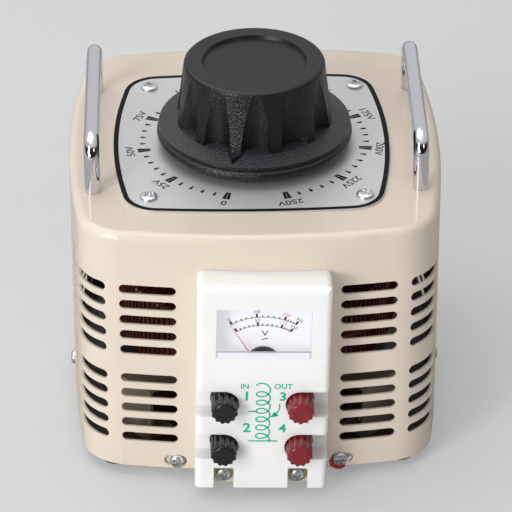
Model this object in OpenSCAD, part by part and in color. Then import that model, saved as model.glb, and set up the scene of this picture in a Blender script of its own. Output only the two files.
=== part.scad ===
// Bench variable autotransformer: a ring core with a bared winding, a brush on a turning shaft,
// a slotted sheet-steel case, a dial, and a terminal panel with a needle meter.
// Millimetres, +Z up, the front faces -Y, and Z = 0 is the surface that the feet stand on.

/* [Case] */
// Width of the case across its side faces
case_w = 183; // [176:1:192]
// Depth of the case from its front face to its back face
case_d = 190; // [184:1:200]
// Height of the sheet-steel cover
case_h = 133; // [130:1:145]
// Radius of the outward bow of the front and back faces
front_bow_r = 385; // [320:5:600]
// Radius of the outward bow of the side faces
side_bow_r = 460; // [320:5:700]
// Radius of the four upright corners
corner_r = 24; // [20:1:30]
// Rounding of the cover's top edge
edge_r = 4; // [3:0.5:6]
// Thickness of the cover sheet
cover_t = 1.2; // [0.8:0.1:1.6]
// Gap between the cover and the rim of the base plate
cover_gap = 0.3; // [0.2:0.05:0.6]
// Thickness of the base plate and its rim
base_t = 1.5; // [1:0.1:2]
// Height of the base plate's rim
rim_h = 10; // [9:0.5:12]

/* [Feet] */
// Height of the rubber feet
foot_h = 6; // [5:0.5:10]
// Diameter of a foot at the base plate
foot_d = 17; // [14:0.5:20]
// Distance of the feet from the middle, along X
foot_x = 70; // [62:1:72]
// Distance of the feet from the middle, along Y
foot_y = 73; // [64:1:75]

/* [Vent slots] */
// Length of a slot along the wall
slot_len = 27.3; // [22:0.1:28]
// Height of a slot
slot_h = 5; // [3.5:0.1:5.6]
// Spacing of the rows within a band
slot_pitch = 8.6; // [8:0.1:9.2]
// Rows in each of the two bands
band_rows = 5; // [3:1:5]
// Spacing from the last row of the upper band to the first of the lower band
band_step = 16.3; // [12:0.1:18]
// Height of the top row above the cover's lower edge
top_row_z = 102.4; // [98:0.1:106]
// Metal left between neighbouring slots of a row
slot_gap = 6.9; // [5:0.1:8]

/* [Dial and handles] */
// Place of the shaft along Y, measured from the middle of the case
shaft_y = -4; // [-6:0.1:4]
// Width of the case's top left bare beside the dial plate
plate_margin = 23.5; // [21:0.5:28]
// Bow radius of the dial plate's left and right edges
plate_side_bow_r = 265; // [220:5:400]
// Bow radius of the dial plate's front and back edges
plate_front_bow_r = 600; // [400:10:1000]
// Corner radius of the dial plate
plate_corner_r = 17; // [14:1:24]
// Thickness of the dial plate
plate_t = 1; // [0.6:0.1:1.5]
// How far the dial plate's outline stands left of the shaft
plate_shift = 1.5; // [0:0.1:3]
// Distance of the dial plate's screws from its left and right edges
plate_screw_inset = 16; // [15:0.5:20]
// Distance of the dial plate's screws from its front and back edges
plate_screw_end = 14; // [13:0.5:20]
// Spacing of a handle's two feet
handle_span = 99; // [90:1:116]
// Distance of the handles' rods from the case's side faces
handle_inset = 12.5; // [12:0.1:16]
// Height of the handles above the case, to the middle of the rod
handle_rise = 23; // [18:0.5:32]
// Diameter of the handle rod
rod_d = 7.8; // [6:0.1:9]
// Bend radius of the handle rod, to its middle line
rod_bend_r = 11; // [8:0.5:14]

/* [Knob] */
// Diameter of the knob's skirt
skirt_d = 96; // [90:0.5:100]
// Diameter of the knob at the foot of its flutes
grip_d = 77; // [72:0.5:80]
// Diameter of the knob's top
knob_top_d = 69; // [64:0.5:71]
// Height of the knob
knob_h = 41.5; // [36:0.5:46]
// Gap between the knob and the dial plate
knob_gap = 3.5; // [1:0.1:5]
// Number of flutes round the grip
flutes = 12; // [10:1:14]
// Depth of the flutes at the foot of the grip
flute_depth = 5; // [3:0.1:5.5]
// Radius of the flutes
flute_r = 9; // [7:0.1:10]
// Turn of the knob from zero to full output, in degrees
sweep = 330; // [320:1:336]

/* [Shaft and brush] */
// Diameter of the shaft
shaft_d = 10; // [8:0.5:11]
// Running clearance of the shaft in its bushes, on the radius
run_fit = 0.05; // [0.02:0.01:0.08]
// Clearance of a piece that is fixed on or in another, on the radius
seat_fit = 0.03; // [0.02:0.01:0.05]
// Outer diameter of the bearing hub
hub_d = 22; // [21:0.5:24]
// Outer diameter of the shaft bushes
bush_d = 16; // [15:0.5:17]
// Width of the brush arm
arm_w = 8; // [6:0.5:10]
// Radius at which the brush runs on the winding
brush_r = 54; // [52:0.5:57]
// Side of the square carbon brush
brush_w = 7; // [5:0.5:8]
// Gap between the brush and the winding, and between pieces that pass each other
pass_gap = 0.2; // [0.15:0.05:0.3]

/* [Core and winding] */
// Outer diameter of the ring core
core_od = 136; // [132:1:138]
// Inner diameter of the ring core
core_id = 76; // [74:1:80]
// Height of the ring core
core_h = 34; // [28:0.5:38]
// Thickness of the insulation round the core
wrap_t = 1; // [0.6:0.1:1.4]
// Thickness of the wire
wire_d = 1.6; // [1.2:0.1:2]
// Number of turns
turns = 120; // [80:1:122]
// Height of the stand's top face above the base plate
stand_h = 30; // [26:0.5:32]
// Thickness of the stand's sheet
stand_t = 2; // [1.5:0.1:2.5]
// Thickness of the insulating discs under and over the winding
disc_t = 2; // [1.5:0.1:3]

/* [Terminal panel] */
// Width of the terminal panel
panel_w = 64; // [62:0.5:68]
// Height of the terminal panel
panel_h = 115; // [112:0.5:119]
// Depth of the terminal panel in front of the case
panel_d = 15.5; // [15:0.1:18]
// Wall thickness of the panel
panel_t = 2.5; // [2:0.1:3]
// Rounding of the panel's front edges and its top edge and corners
panel_edge_r = 3; // [1:0.1:3.4]
// Place of the panel's foot along X
panel_x = 0.4; // [-3:0.1:3]
// Lean of the panel to the right, in degrees
panel_lean = 1.2; // [0:0.1:2]
// Half the spacing of the terminals across the panel
terminal_x = 18.3; // [17:0.1:19]
// Height of the lower terminals on the panel
lower_terminal_z = 24.2; // [23.5:0.1:25]
// Height of the upper terminals on the panel
upper_terminal_z = 49; // [48:0.1:49.5]
// Half height of the terminal pockets
pocket_r = 7.2; // [7:0.1:7.4]
// Depth of the terminal pockets
pocket_d = 9.5; // [9.5:0.1:10]
// Diameter of a terminal cap
cap_d = 13; // [12:0.1:13.6]
// Diameter of a terminal cap's front face
cap_front_d = 10.8; // [10:0.1:11.6]
// Length of a terminal cap
cap_l = 15.5; // [12:0.1:16]
// Number of grooves round a terminal cap
cap_grooves = 10; // [7:1:12]
// Diameter of a terminal stud
stud_d = 5; // [4:0.1:5.5]

/* [Meter] */
// Width of the meter window
window_w = 45.5; // [42:0.1:47]
// Height of the meter window
window_h = 27.3; // [24:0.1:28]
// Height of the window's lower edge on the panel
window_z = 75.6; // [74.5:0.1:78]
// Height of the needle's pivot on the panel
pivot_z = 64; // [63.5:0.1:65]
// Length of the needle
needle_l = 32; // [28:0.1:33]
// Turn of the needle from the middle of the scale to its end, in degrees
half_scale = 31; // [24:0.5:32]
// Radius of the movement's dark cover
movement_r = 7.8; // [6.6:0.1:7.9]
// Height of the middle of that cover above the needle's pivot
movement_rise = 5; // [3:0.1:5.4]

/* [Hidden] */
$fn = 96;
tiny = 0.01;
deg = 180 / PI;

beige = "#dccfbf";
steel = "#b9bcc0";
chrome = "#c9ced2";
black = "#26262a";
white = "#f1f0ec";
brass = "#c9a54f";
copper_red = "#7a2420";

// Sizes on top that follow the case's width
plate_w = case_w - 2 * plate_margin;
plate_screw_x = plate_w / 2 - plate_screw_inset;
plate_screw_y = plate_w / 2 - plate_screw_end;
handle_x = case_w / 2 - handle_inset;

// Levels along Z
cover_z = foot_h;
case_top = cover_z + case_h;
base_top = cover_z + base_t;
stand_top = base_top + stand_h;
disc_top = stand_top + disc_t;
winding_h = core_h + 2 * wrap_t + 2 * wire_d;
winding_top = disc_top + winding_h;
upper_disc_top = winding_top + disc_t;
nut_h = 6;
hub_top = upper_disc_top + nut_h + 3;
hub_flange_h = 4;
hub_flange_d = 36;
hub_bottom = stand_top - stand_t - hub_flange_h;
arm_hub_h = 13;
arm_z = hub_top + pass_gap + 3.5;
arm_h = 6;
knob_z = case_top + plate_t + knob_gap;
shaft_top = knob_z + knob_h - 9;
collar_h = 5;
shaft_bottom = hub_bottom - pass_gap - collar_h;

// Screws
small_shank_d = 3.5;
small_head_d = 7;
small_head_h = 2.5;
plate_head_d = 8.6;
plate_head_h = 1.9;
shank_gap = 0.05;

// A plan with bowed sides: width, depth, bow of the sides, bow of the front and back, corner radius
case_plan = [case_w, case_d, side_bow_r, front_bow_r, corner_r];
plate_plan = [plate_w, plate_w, plate_side_bow_r, plate_front_bow_r, plate_corner_r];

// Distance from the middle to the centre of each bow
function side_c(p) = p[2] - p[0] / 2;
function front_c(p) = p[3] - p[1] / 2;

// Centre of the corner arc, which lies the corner radius inside both bows
function plan_corner(p) =
    let (s = side_c(p), f = front_c(p), span = norm([s, f]))
    let (along = ((p[2] - p[4]) ^ 2 - (p[3] - p[4]) ^ 2 + span ^ 2) / (2 * span))
    let (across = sqrt((p[2] - p[4]) ^ 2 - along ^ 2))
    [-s + (along * s + across * f) / span, (across * s - along * f) / span];

// Angles at which the corner arc meets the side bow and the front or back bow
function side_a(p) = atan2(plan_corner(p)[1], plan_corner(p)[0] + side_c(p));
function front_a(p) = atan2(plan_corner(p)[1] + front_c(p), plan_corner(p)[0]);

// Sweeps a profile round a plan; the profile's x is minus the distance inside the outer face.
// The corners stand a hair proud and reach a little over the ends of the sides.
seam_step = 0.04;
seam_a = 0.5;
module sweep_plan(p, lift = 0) {
    corner = plan_corner(p);
    for (turn = [0, 180]) rotate(turn) {
        translate([-side_c(p), 0, 0]) rotate_extrude(angle = 2 * side_a(p), start = -side_a(p))
            translate([p[2], 0]) children();
        translate([0, -front_c(p), 0]) rotate_extrude(angle = 180 - 2 * front_a(p), start = front_a(p))
            translate([p[3], 0]) children();
    }
    at_corners() translate([corner[0], corner[1], 0])
        rotate_extrude(angle = front_a(p) - side_a(p) + 2 * seam_a, start = side_a(p) - seam_a)
            translate([p[4] + seam_step, lift]) children();
}

// The middle of a plan, which reaches a little over the inner edge of the swept border
border_edge = 1;
core_reach = 2;
module plan_core(p, h) {
    inset = p[4] - core_reach;
    linear_extrude(h) intersection() {
        translate([-side_c(p), 0]) circle(p[2] - inset);
        translate([side_c(p), 0]) circle(p[2] - inset);
        translate([0, -front_c(p)]) circle(p[3] - inset);
        translate([0, front_c(p)]) circle(p[3] - inset);
    }
}

// A plate of a plan's outline, set in by a distance
module plan_plate(p, inset, h) {
    sweep_plan(p) translate([border_edge - p[4], 0]) square([p[4] - border_edge - inset, h]);
    plan_core(p, h);
}

// Repeats something in the four corners of a plan
module at_corners() {
    for (mx = [0, 1], my = [0, 1]) mirror([mx, 0, 0]) mirror([0, my, 0]) children();
}

// Puts something at the shaft
module on_shaft(z) {
    translate([0, shaft_y, z]) children();
}

// Turns something to the brush's rest position, which is also where the pointer shows zero
rest_a = -90 - (360 - sweep) / 2;
module at_rest_angle() {
    rotate(rest_a) children();
}

// A ring
module ring(outer_d, inner_d, h) {
    difference() {
        cylinder(d = outer_d, h = h);
        translate([0, 0, -1]) cylinder(d = inner_d, h = h + 2);
    }
}

// A hexagon nut
module hex_nut(across, bore, h) {
    difference() {
        cylinder(d = across / cos(30), h = h, $fn = 6);
        translate([0, 0, -1]) cylinder(d = bore, h = h + 2);
    }
}

// A pan-head screw with its head above Z = 0 and its shank below
module pan_screw(head_d, head_h, shank_d, shank_l) {
    dome_r = (head_d ^ 2 / 4 + head_h ^ 2) / (2 * head_h) + head_d / 8;
    rotate_extrude() intersection() {
        square([head_d / 2, head_h]);
        translate([0, head_h - dome_r]) circle(dome_r);
    }
    translate([0, 0, -shank_l]) cylinder(d = shank_d, h = shank_l + tiny);
}

module small_screw(shank_l) {
    pan_screw(small_head_d, small_head_h, small_shank_d, shank_l);
}

// A flat bar with round ends, along X
module obround(length, height) {
    square([length - height, height], center = true);
    for (side = [-1, 1]) translate([side * (length - height) / 2, 0]) circle(d = height);
}

// The same, pushed through a wall along Y
wall_cut = 12;
module obround_cut(length, height) {
    rotate([90, 0, 0]) linear_extrude(2 * wall_cut, center = true) obround(length, height);
}

// Puts something on the front face with its local -Y pointing outwards
module on_front(x, z) {
    translate([0, front_c(case_plan), z]) rotate(asin(x / front_bow_r))
        translate([0, -front_bow_r, 0]) children();
}

// Base plate, rim, and the lip in front that holds the terminal panel
base_inset = cover_t + cover_gap;
lip_w = 48;
lip_depth = 5.5;
lip_h = 11;
tongue_gap = 0.5;
case_screw_x = 40;
case_screw_z = cover_z + 4.6;
case_screw_l = 8;
case_slot_l = 11.1;
case_slot_h = 5.7;
case_slot_shift = 0.8;
panel_screw_x = 18;
panel_screw_z = 5.2;

// Puts something at each screw that joins the cover to the base plate, with local -Y outwards
module at_case_screws() {
    for (turn = [0, 180], side = [-1, 1])
        rotate(turn) on_front(side * case_screw_x, case_screw_z) children();
    for (side = [-1, 1])
        translate([side * case_w / 2, 0, case_screw_z]) rotate(side * 90) children();
}

// Puts something in the panel's own frame: X across, Y inwards from the front, Z up from the foot
module panel_frame() {
    translate([panel_x, -case_d / 2 - panel_d, cover_z]) rotate([0, panel_lean, 0]) children();
}

module at_panel_screws(depth) {
    for (side = [-1, 1])
        panel_frame() translate([side * panel_screw_x, depth, panel_screw_z]) children();
}

module at_feet(z) {
    for (sx = [-1, 1], sy = [-1, 1]) translate([sx * foot_x, sy * foot_y, z]) children();
}

module lip() {
    front_y = -case_d / 2 - panel_d + lip_depth;
    translate([panel_x - lip_w / 2, front_y, cover_z]) {
        cube([lip_w, panel_d + corner_r - lip_depth, base_t]);
        cube([lip_w, base_t, lip_h]);
    }
}

module base_plate() {
    color(beige) difference() {
        union() {
            translate([0, 0, cover_z]) plan_plate(case_plan, base_inset, base_t);
            translate([0, 0, cover_z]) sweep_plan(case_plan)
                translate([-base_inset - base_t, 0]) square([base_t, rim_h]);
            lip();
        }
        at_feet(0) cylinder(d = small_shank_d + 2 * shank_gap, h = 2 * base_top);
        at_stand_screws(0) cylinder(d = small_shank_d + 2 * shank_gap, h = 2 * base_top);
        at_case_screws() rotate([-90, 0, 0]) cylinder(d = small_shank_d + 2 * shank_gap, h = case_screw_l);
        at_panel_screws(0) rotate([-90, 0, 0])
            cylinder(d = small_shank_d + 10 * shank_gap, h = lip_depth + 2 * base_t);
    }
}

foot_recess_d = 9;
foot_recess_h = 3.2;
foot_taper = 2;
module rubber_feet() {
    color(black) at_feet(0) difference() {
        cylinder(d1 = foot_d - foot_taper, d2 = foot_d, h = foot_h);
        translate([0, 0, -1]) cylinder(d = foot_recess_d, h = foot_recess_h + 1);
        cylinder(d = small_shank_d + 2 * shank_gap, h = 2 * foot_h);
    }
}

module foot_screws() {
    color(steel) at_feet(foot_recess_h) mirror([0, 0, 1])
        small_screw(foot_h - foot_recess_h + base_t + 2.5);
}

// Cover: one wall and top, swept round the plan, with the slots and holes cut in it
module cover_profile() {
    translate([-cover_t, cover_z]) square([cover_t, case_h - edge_r]);
    translate([border_edge - corner_r, case_top - cover_t])
        square([corner_r - border_edge - edge_r, cover_t]);
    translate([-edge_r, case_top - edge_r]) intersection() {
        difference() {
            circle(edge_r);
            circle(edge_r - cover_t);
        }
        square(edge_r);
    }
}

corner_slot_end = front_a(case_plan) - (slot_gap + slot_h / 2) / corner_r * deg;
corner_slot_start = front_a(case_plan) - (slot_gap + slot_len - slot_h / 2) / corner_r * deg;
front_slot_x = plan_corner(case_plan)[0] + corner_r * cos(front_a(case_plan)) - slot_len / 2;
corner_overrun = slot_gap + slot_len - corner_r * (front_a(case_plan) - side_a(case_plan)) / deg;
side_slot_y = plan_corner(case_plan)[1] + corner_r * sin(side_a(case_plan)) - corner_overrun - slot_gap
    - slot_len / 2;
corner_cut = 14;

module corner_slot() {
    corner = plan_corner(case_plan);
    cut_in = corner_r - corner_cut / 2;
    translate([corner[0], corner[1], 0]) {
        rotate(corner_slot_start) rotate_extrude(angle = corner_slot_end - corner_slot_start)
            translate([cut_in, -slot_h / 2]) square([corner_cut, slot_h]);
        for (a = [corner_slot_start, corner_slot_end])
            rotate(a) translate([cut_in, 0, 0]) rotate([0, 90, 0]) cylinder(d = slot_h, h = corner_cut);
    }
}

function row_z(row) = cover_z + top_row_z - row * slot_pitch
    - (row < band_rows ? 0 : band_step - slot_pitch);

module vent_slots() {
    for (row = [0 : 2 * band_rows - 1]) translate([0, 0, row_z(row)]) at_corners() {
        translate([front_slot_x, case_d / 2, 0]) obround_cut(slot_len, slot_h);
        translate([case_w / 2, side_slot_y, 0]) rotate(90) obround_cut(slot_len, slot_h);
        corner_slot();
    }
}

shaft_hole_d = 24;
handle_stud_d = 5;
handle_stud_l = 9;
module at_handle_feet(z) {
    for (sx = [-1, 1], sy = [-1, 1])
        translate([sx * handle_x, sy * handle_span / 2, z]) children();
}

module at_plate_screws(z) {
    for (sx = [-1, 1], sy = [-1, 1]) on_shaft(z) translate([sx * plate_screw_x, sy * plate_screw_y, 0])
        children();
}

aperture_w = 54;
aperture_z = 12;
aperture_h = 98;
module housing_cover() {
    color(beige) difference() {
        union() {
            sweep_plan(case_plan, seam_step) cover_profile();
            translate([0, 0, case_top - cover_t]) plan_core(case_plan, cover_t);
        }
        vent_slots();
        on_shaft(case_top - wall_cut) cylinder(d = shaft_hole_d, h = 2 * wall_cut);
        at_handle_feet(case_top - wall_cut)
            cylinder(d = handle_stud_d + 2 * shank_gap, h = 2 * wall_cut);
        at_plate_screws(case_top - wall_cut)
            cylinder(d = small_shank_d + 2 * shank_gap, h = 2 * wall_cut);
        for (turn = [0, 180], side = [-1, 1]) rotate(turn) on_front(side * case_screw_x, case_screw_z)
            translate([side * case_slot_shift, 0, 0]) obround_cut(case_slot_l, case_slot_h);
        for (side = [-1, 1]) translate([side * case_w / 2, 0, case_screw_z]) rotate(side * 90)
            obround_cut(case_slot_l, case_slot_h);
        panel_frame() translate([-aperture_w / 2, panel_d - wall_cut / 2, aperture_z])
            cube([aperture_w, wall_cut, aperture_h]);
        translate([panel_x - lip_w / 2 - tongue_gap, -case_d / 2 - wall_cut, cover_z - 1])
            cube([lip_w + 2 * tongue_gap, 2 * wall_cut, base_t + tongue_gap + 1]);
    }
}

module housing_screws() {
    color(steel) at_case_screws() rotate([90, 0, 0]) small_screw(case_screw_l - 1);
}

// Handles: a bent rod, with a stud at each foot that a nut pulls up inside the cover
module handle() {
    leg = handle_rise - rod_bend_r;
    straight = handle_span - 2 * rod_bend_r;
    for (side = [0, 1]) mirror([0, side, 0]) {
        translate([0, handle_span / 2, -handle_stud_l]) cylinder(d = handle_stud_d, h = handle_stud_l);
        translate([0, handle_span / 2, 0]) cylinder(d = rod_d, h = leg);
        translate([0, straight / 2, leg]) rotate([90, 0, 90])
            rotate_extrude(angle = 90) translate([rod_bend_r, 0]) circle(d = rod_d);
    }
    translate([0, straight / 2, handle_rise]) rotate([90, 0, 0]) cylinder(d = rod_d, h = straight);
}

module handle_left() {
    color(chrome) translate([-handle_x, 0, case_top]) handle();
}

module handle_right() {
    color(chrome) translate([handle_x, 0, case_top]) handle();
}

handle_nut_w = 9;
handle_nut_h = 4;
module handle_nuts() {
    color(steel) at_handle_feet(case_top - cover_t - handle_nut_h)
        hex_nut(handle_nut_w, handle_stud_d + 2 * seat_fit, handle_nut_h);
}

module dial_plate() {
    color(steel) on_shaft(case_top) difference() {
        translate([-plate_shift, 0, 0]) plan_plate(plate_plan, 0, plate_t);
        translate([0, 0, -1]) cylinder(d = shaft_hole_d, h = plate_t + 2);
        for (sx = [-1, 1], sy = [-1, 1]) translate([sx * plate_screw_x, sy * plate_screw_y, -1])
            cylinder(d = small_shank_d + 10 * shank_gap, h = plate_t + 2);
    }
}

module dial_plate_screws() {
    color(steel) at_plate_screws(case_top + plate_t)
        pan_screw(plate_head_d, plate_head_h, small_shank_d, plate_t + cover_t + 4);
}

// Terminal panel: an open-backed box with a window, four pockets open to its sides, and two bosses
terminals = [[-terminal_x, upper_terminal_z], [-terminal_x, lower_terminal_z],
    [terminal_x, upper_terminal_z], [terminal_x, lower_terminal_z]];
pocket_wall = 2.2;
floor_t = 2.5;
panel_fit = 0.05;
notch_w = 9.7;
notch_h = 11.6;
boss_w = 10;

module panel_outer() {
    depth = panel_d + wall_cut / 2;
    r = panel_edge_r;
    intersection() {
        linear_extrude(panel_h) {
            translate([-panel_w / 2, r]) square([panel_w, depth - r]);
            translate([-panel_w / 2 + r, 0]) square([panel_w - 2 * r, depth]);
            for (side = [-1, 1]) translate([side * (panel_w / 2 - r), r]) circle(r);
        }
        rotate([90, 0, 90]) linear_extrude(panel_w, center = true) {
            translate([r, 0]) square([depth - r, panel_h]);
            square([depth, panel_h - r]);
            translate([r, panel_h - r]) circle(r);
        }
        translate([0, depth, 0]) rotate([90, 0, 0]) linear_extrude(depth) {
            translate([-panel_w / 2, 0]) square([panel_w, panel_h - r]);
            translate([-panel_w / 2 + r, 0]) square([panel_w - 2 * r, panel_h]);
            for (side = [-1, 1]) translate([side * (panel_w / 2 - r), panel_h - r]) circle(r);
        }
    }
}

module at_terminal(i, depth) {
    panel_frame() translate([terminals[i][0], depth, terminals[i][1]]) rotate([90, 0, 0]) children();
}

// A pocket's outline on the panel: round the stud, and straight out to the panel's side
module pocket_outline(i, r) {
    side = sign(terminals[i][0]);
    translate(terminals[i]) {
        circle(r);
        translate([side * panel_w / 4, 0]) square([panel_w / 2, 2 * r], center = true);
    }
}

module pocket_solid(i, r, from, to) {
    translate([0, to, 0]) rotate([90, 0, 0]) linear_extrude(to - from) pocket_outline(i, r);
}

module panel_body() {
    difference() {
        union() {
            difference() {
                panel_outer();
                translate([-panel_w / 2 + panel_t, panel_t, -1])
                    cube([panel_w - 2 * panel_t, 3 * panel_d, panel_h - panel_t + 1]);
            }
            intersection() {
                panel_outer();
                for (i = [0 : 3])
                    pocket_solid(i, pocket_r + pocket_wall, panel_t - 1, pocket_d + floor_t);
            }
            for (side = [-1, 1])
                translate([side * panel_screw_x - boss_w / 2, lip_depth + base_t + panel_fit, 2.4])
                    cube([boss_w, pocket_d + floor_t - lip_depth - base_t - panel_fit,
                        lower_terminal_z - pocket_r - pocket_wall - 2.4 + 1]);
        }
        for (i = [0 : 3]) pocket_solid(i, pocket_r, -1, pocket_d);
        for (i = [0 : 3]) translate([terminals[i][0], 0, terminals[i][1]]) rotate([-90, 0, 0])
            cylinder(d = stud_d + 2 * seat_fit, h = 2 * panel_d);
        translate([-window_w / 2, -1, window_z]) cube([window_w, panel_t + 2, window_h]);
        for (side = [-1, 1]) {
            translate([side * panel_screw_x - notch_w / 2, -1, -1]) cube([notch_w, panel_t + 2, notch_h + 1]);
            translate([side * panel_screw_x, 0, panel_screw_z]) rotate([-90, 0, 0])
                cylinder(d = small_shank_d + 2 * shank_gap, h = 2 * panel_d);
        }
    }
}

module terminal_panel() {
    color(white) difference() {
        panel_frame() panel_body();
        translate([0, front_c(case_plan), 0]) cylinder(r = front_bow_r + panel_fit, h = 2 * case_h);
    }
}

module panel_screws() {
    color(steel) at_panel_screws(lip_depth) rotate([90, 0, 0]) small_screw(6);
}

// Meter: a case behind the window, a printed face, a lens, the movement and its needle
meter_w = 52;
meter_wall = 1.4;
meter_bottom = 59.6;
meter_top = 106.5;
meter_back = 14.5;
face_depth = 8.5;
face_t = 0.6;
lens_flange = 1.5;
lens_step_h = 3.8;
lens_front = 0.4;
needle_depth = 5.6;
pivot_d = 2;

module meter_case() {
    color(white) panel_frame() difference() {
        translate([-meter_w / 2, panel_t, meter_bottom])
            cube([meter_w, meter_back - panel_t, meter_top - meter_bottom]);
        translate([-meter_w / 2 + meter_wall, panel_t - 1, meter_bottom + meter_wall])
            cube([meter_w - 2 * meter_wall, meter_back - panel_t - meter_wall + 1,
                meter_top - meter_bottom - 2 * meter_wall]);
    }
}

module meter_face() {
    width = meter_w - 2 * meter_wall - 2 * pass_gap;
    color(white) panel_frame() difference() {
        translate([-width / 2, face_depth, meter_bottom + meter_wall + pass_gap])
            cube([width, face_t, meter_top - meter_bottom - 2 * meter_wall - 2 * pass_gap]);
        translate([0, 0, pivot_z + movement_rise]) rotate([-90, 0, 0])
            cylinder(r = movement_r + pass_gap, h = meter_back);
    }
}

module meter_window() {
    fit = 2 * shank_gap;
    color("lightcyan", 0.4) panel_frame() {
        translate([-window_w / 2 + fit, lens_front, window_z + fit])
            cube([window_w - 2 * fit, panel_t - lens_front + tiny, window_h - 2 * fit]);
        translate([-window_w / 2 + fit, 0, window_z + fit])
            cube([window_w - 2 * fit, panel_t, lens_step_h]);
        translate([-window_w / 2 - lens_flange, panel_t, window_z - lens_flange])
            cube([window_w + 2 * lens_flange, lens_flange, window_h + 2 * lens_flange]);
    }
}

module meter_movement() {
    front = needle_depth + 1.6;
    color(black) panel_frame() {
        intersection() {
            translate([0, front, pivot_z + movement_rise]) rotate([-90, 0, 0])
                cylinder(r = movement_r, h = meter_back - meter_wall - front);
            translate([-meter_w / 2, 0, meter_bottom + meter_wall]) cube([meter_w, meter_back, meter_top]);
        }
        translate([0, needle_depth - 0.6, pivot_z]) rotate([-90, 0, 0])
            cylinder(d = pivot_d, h = front - needle_depth + 0.6 + tiny);
    }
}

needle_hub_d = 4.4;
needle_w = 0.45;
needle_t = 0.4;
module meter_needle() {
    color("#e0606a") panel_frame() translate([0, needle_depth, pivot_z]) rotate([0, -half_scale, 0])
        difference() {
            union() {
                translate([0, 1, 0]) rotate([90, 0, 0]) cylinder(d = needle_hub_d, h = 1.4);
                rotate([90, 0, 0]) translate([0, 0, -needle_t]) linear_extrude(needle_t)
                    polygon([[-needle_w, 0], [needle_w, 0], [needle_w / 4, needle_l], [-needle_w / 4, needle_l]]);
            }
            rotate([90, 0, 0]) cylinder(d = pivot_d + 2 * run_fit, h = meter_back, center = true);
        }
}

// Terminals: a shouldered stud, a nut behind the panel, a captive washer and a ribbed cap
shoulder_d = 10.5;
shoulder_t = 1;
washer_t = 1.2;
washer_d = 12;
touch_gap = 0.1;
lug_t = 0.8;
stud_nut_w = 8;
stud_nut_h = 3.2;
washer_depth = pocket_d - shoulder_t - touch_gap;
cap_depth = washer_depth - washer_t - touch_gap;
cap_bore_l = cap_l - 3;

module terminal_studs() {
    stud_l = pocket_d + floor_t + lug_t + stud_nut_h + cap_bore_l - cap_depth - 0.5;
    color(brass) for (i = [0 : 3]) {
        at_terminal(i, pocket_d + floor_t + lug_t + stud_nut_h) cylinder(d = stud_d, h = stud_l);
        at_terminal(i, pocket_d) cylinder(d = shoulder_d, h = shoulder_t);
    }
}

module stud_nuts() {
    color(brass) for (i = [0 : 3]) at_terminal(i, pocket_d + floor_t + lug_t + stud_nut_h)
        hex_nut(stud_nut_w, stud_d + 2 * seat_fit, stud_nut_h);
}

module clamp_washer(i) {
    color(brass) at_terminal(i, washer_depth) ring(washer_d, stud_d + 2 * run_fit, washer_t);
}

groove_d = 2.6;
cap_nose = 2.2;
module terminal_cap(i) {
    color(i < 2 ? black : "#8e3239") at_terminal(i, cap_depth) difference() {
        rotate_extrude() polygon([[0, 0], [cap_d / 2, 0], [cap_d / 2, cap_l - cap_nose],
            [cap_front_d / 2, cap_l], [0, cap_l]]);
        for (k = [0 : cap_grooves - 1]) rotate((k + 0.5) * 360 / cap_grooves)
            translate([cap_d / 2 + groove_d / 5, 0, -1]) cylinder(d = groove_d, h = cap_l + 2);
        translate([0, 0, -1]) cylinder(d = stud_d + 2 * run_fit, h = cap_bore_l + 1);
    }
}

module clamp_washer_1() { clamp_washer(0); }
module clamp_washer_2() { clamp_washer(1); }
module clamp_washer_3() { clamp_washer(2); }
module clamp_washer_4() { clamp_washer(3); }
module terminal_cap_1() { terminal_cap(0); }
module terminal_cap_2() { terminal_cap(1); }
module terminal_cap_3() { terminal_cap(2); }
module terminal_cap_4() { terminal_cap(3); }

// Stand: a round table on four bent legs
table_r = 62;
leg_r = 84;
leg_w = 22;
leg_foot_l = 14;
module at_legs() {
    for (a = [45 : 90 : 315]) on_shaft(0) rotate(a) children();
}

module at_stand_screws(z) {
    at_legs() translate([leg_r - leg_foot_l / 2, 0, z]) children();
}

module core_stand() {
    color(beige) difference() {
        union() {
            on_shaft(stand_top - stand_t) cylinder(r = table_r, h = stand_t);
            at_legs() {
                translate([table_r / 2, -leg_w / 2, stand_top - stand_t])
                    cube([leg_r - table_r / 2 + stand_t, leg_w, stand_t]);
                translate([leg_r, -leg_w / 2, base_top]) cube([stand_t, leg_w, stand_h]);
                translate([leg_r - leg_foot_l, -leg_w / 2, base_top]) cube([leg_foot_l + stand_t, leg_w, stand_t]);
            }
        }
        on_shaft(0) cylinder(d = hub_d + 4 * shank_gap, h = case_top);
        at_stand_screws(0) cylinder(d = small_shank_d + 2 * shank_gap, h = base_top + 2 * stand_t);
    }
}

module stand_screws() {
    color(steel) at_stand_screws(base_top + stand_t) small_screw(stand_t + base_t + 1);
}

// Core, insulation, winding and the discs that clamp them
wrap_gap = 0.05;
core_z = disc_top + wire_d + wrap_t;
module lower_disc() {
    color("#7b5a3a") on_shaft(stand_top) ring(2 * table_r - 4, hub_d + 4 * shank_gap, disc_t);
}

module toroid_core() {
    color("#6d6f73") on_shaft(core_z) ring(core_od, core_id, core_h);
}

module core_wrap() {
    inner = core_id / 2 - wrap_t;
    color("#a8432c") on_shaft(core_z - wrap_t) rotate_extrude() difference() {
        translate([inner, 0]) square([core_od / 2 + wrap_t - inner, core_h + 2 * wrap_t]);
        translate([core_id / 2 - wrap_gap, wrap_t])
            square([core_od / 2 - core_id / 2 + 2 * wrap_gap, core_h]);
    }
}

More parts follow.
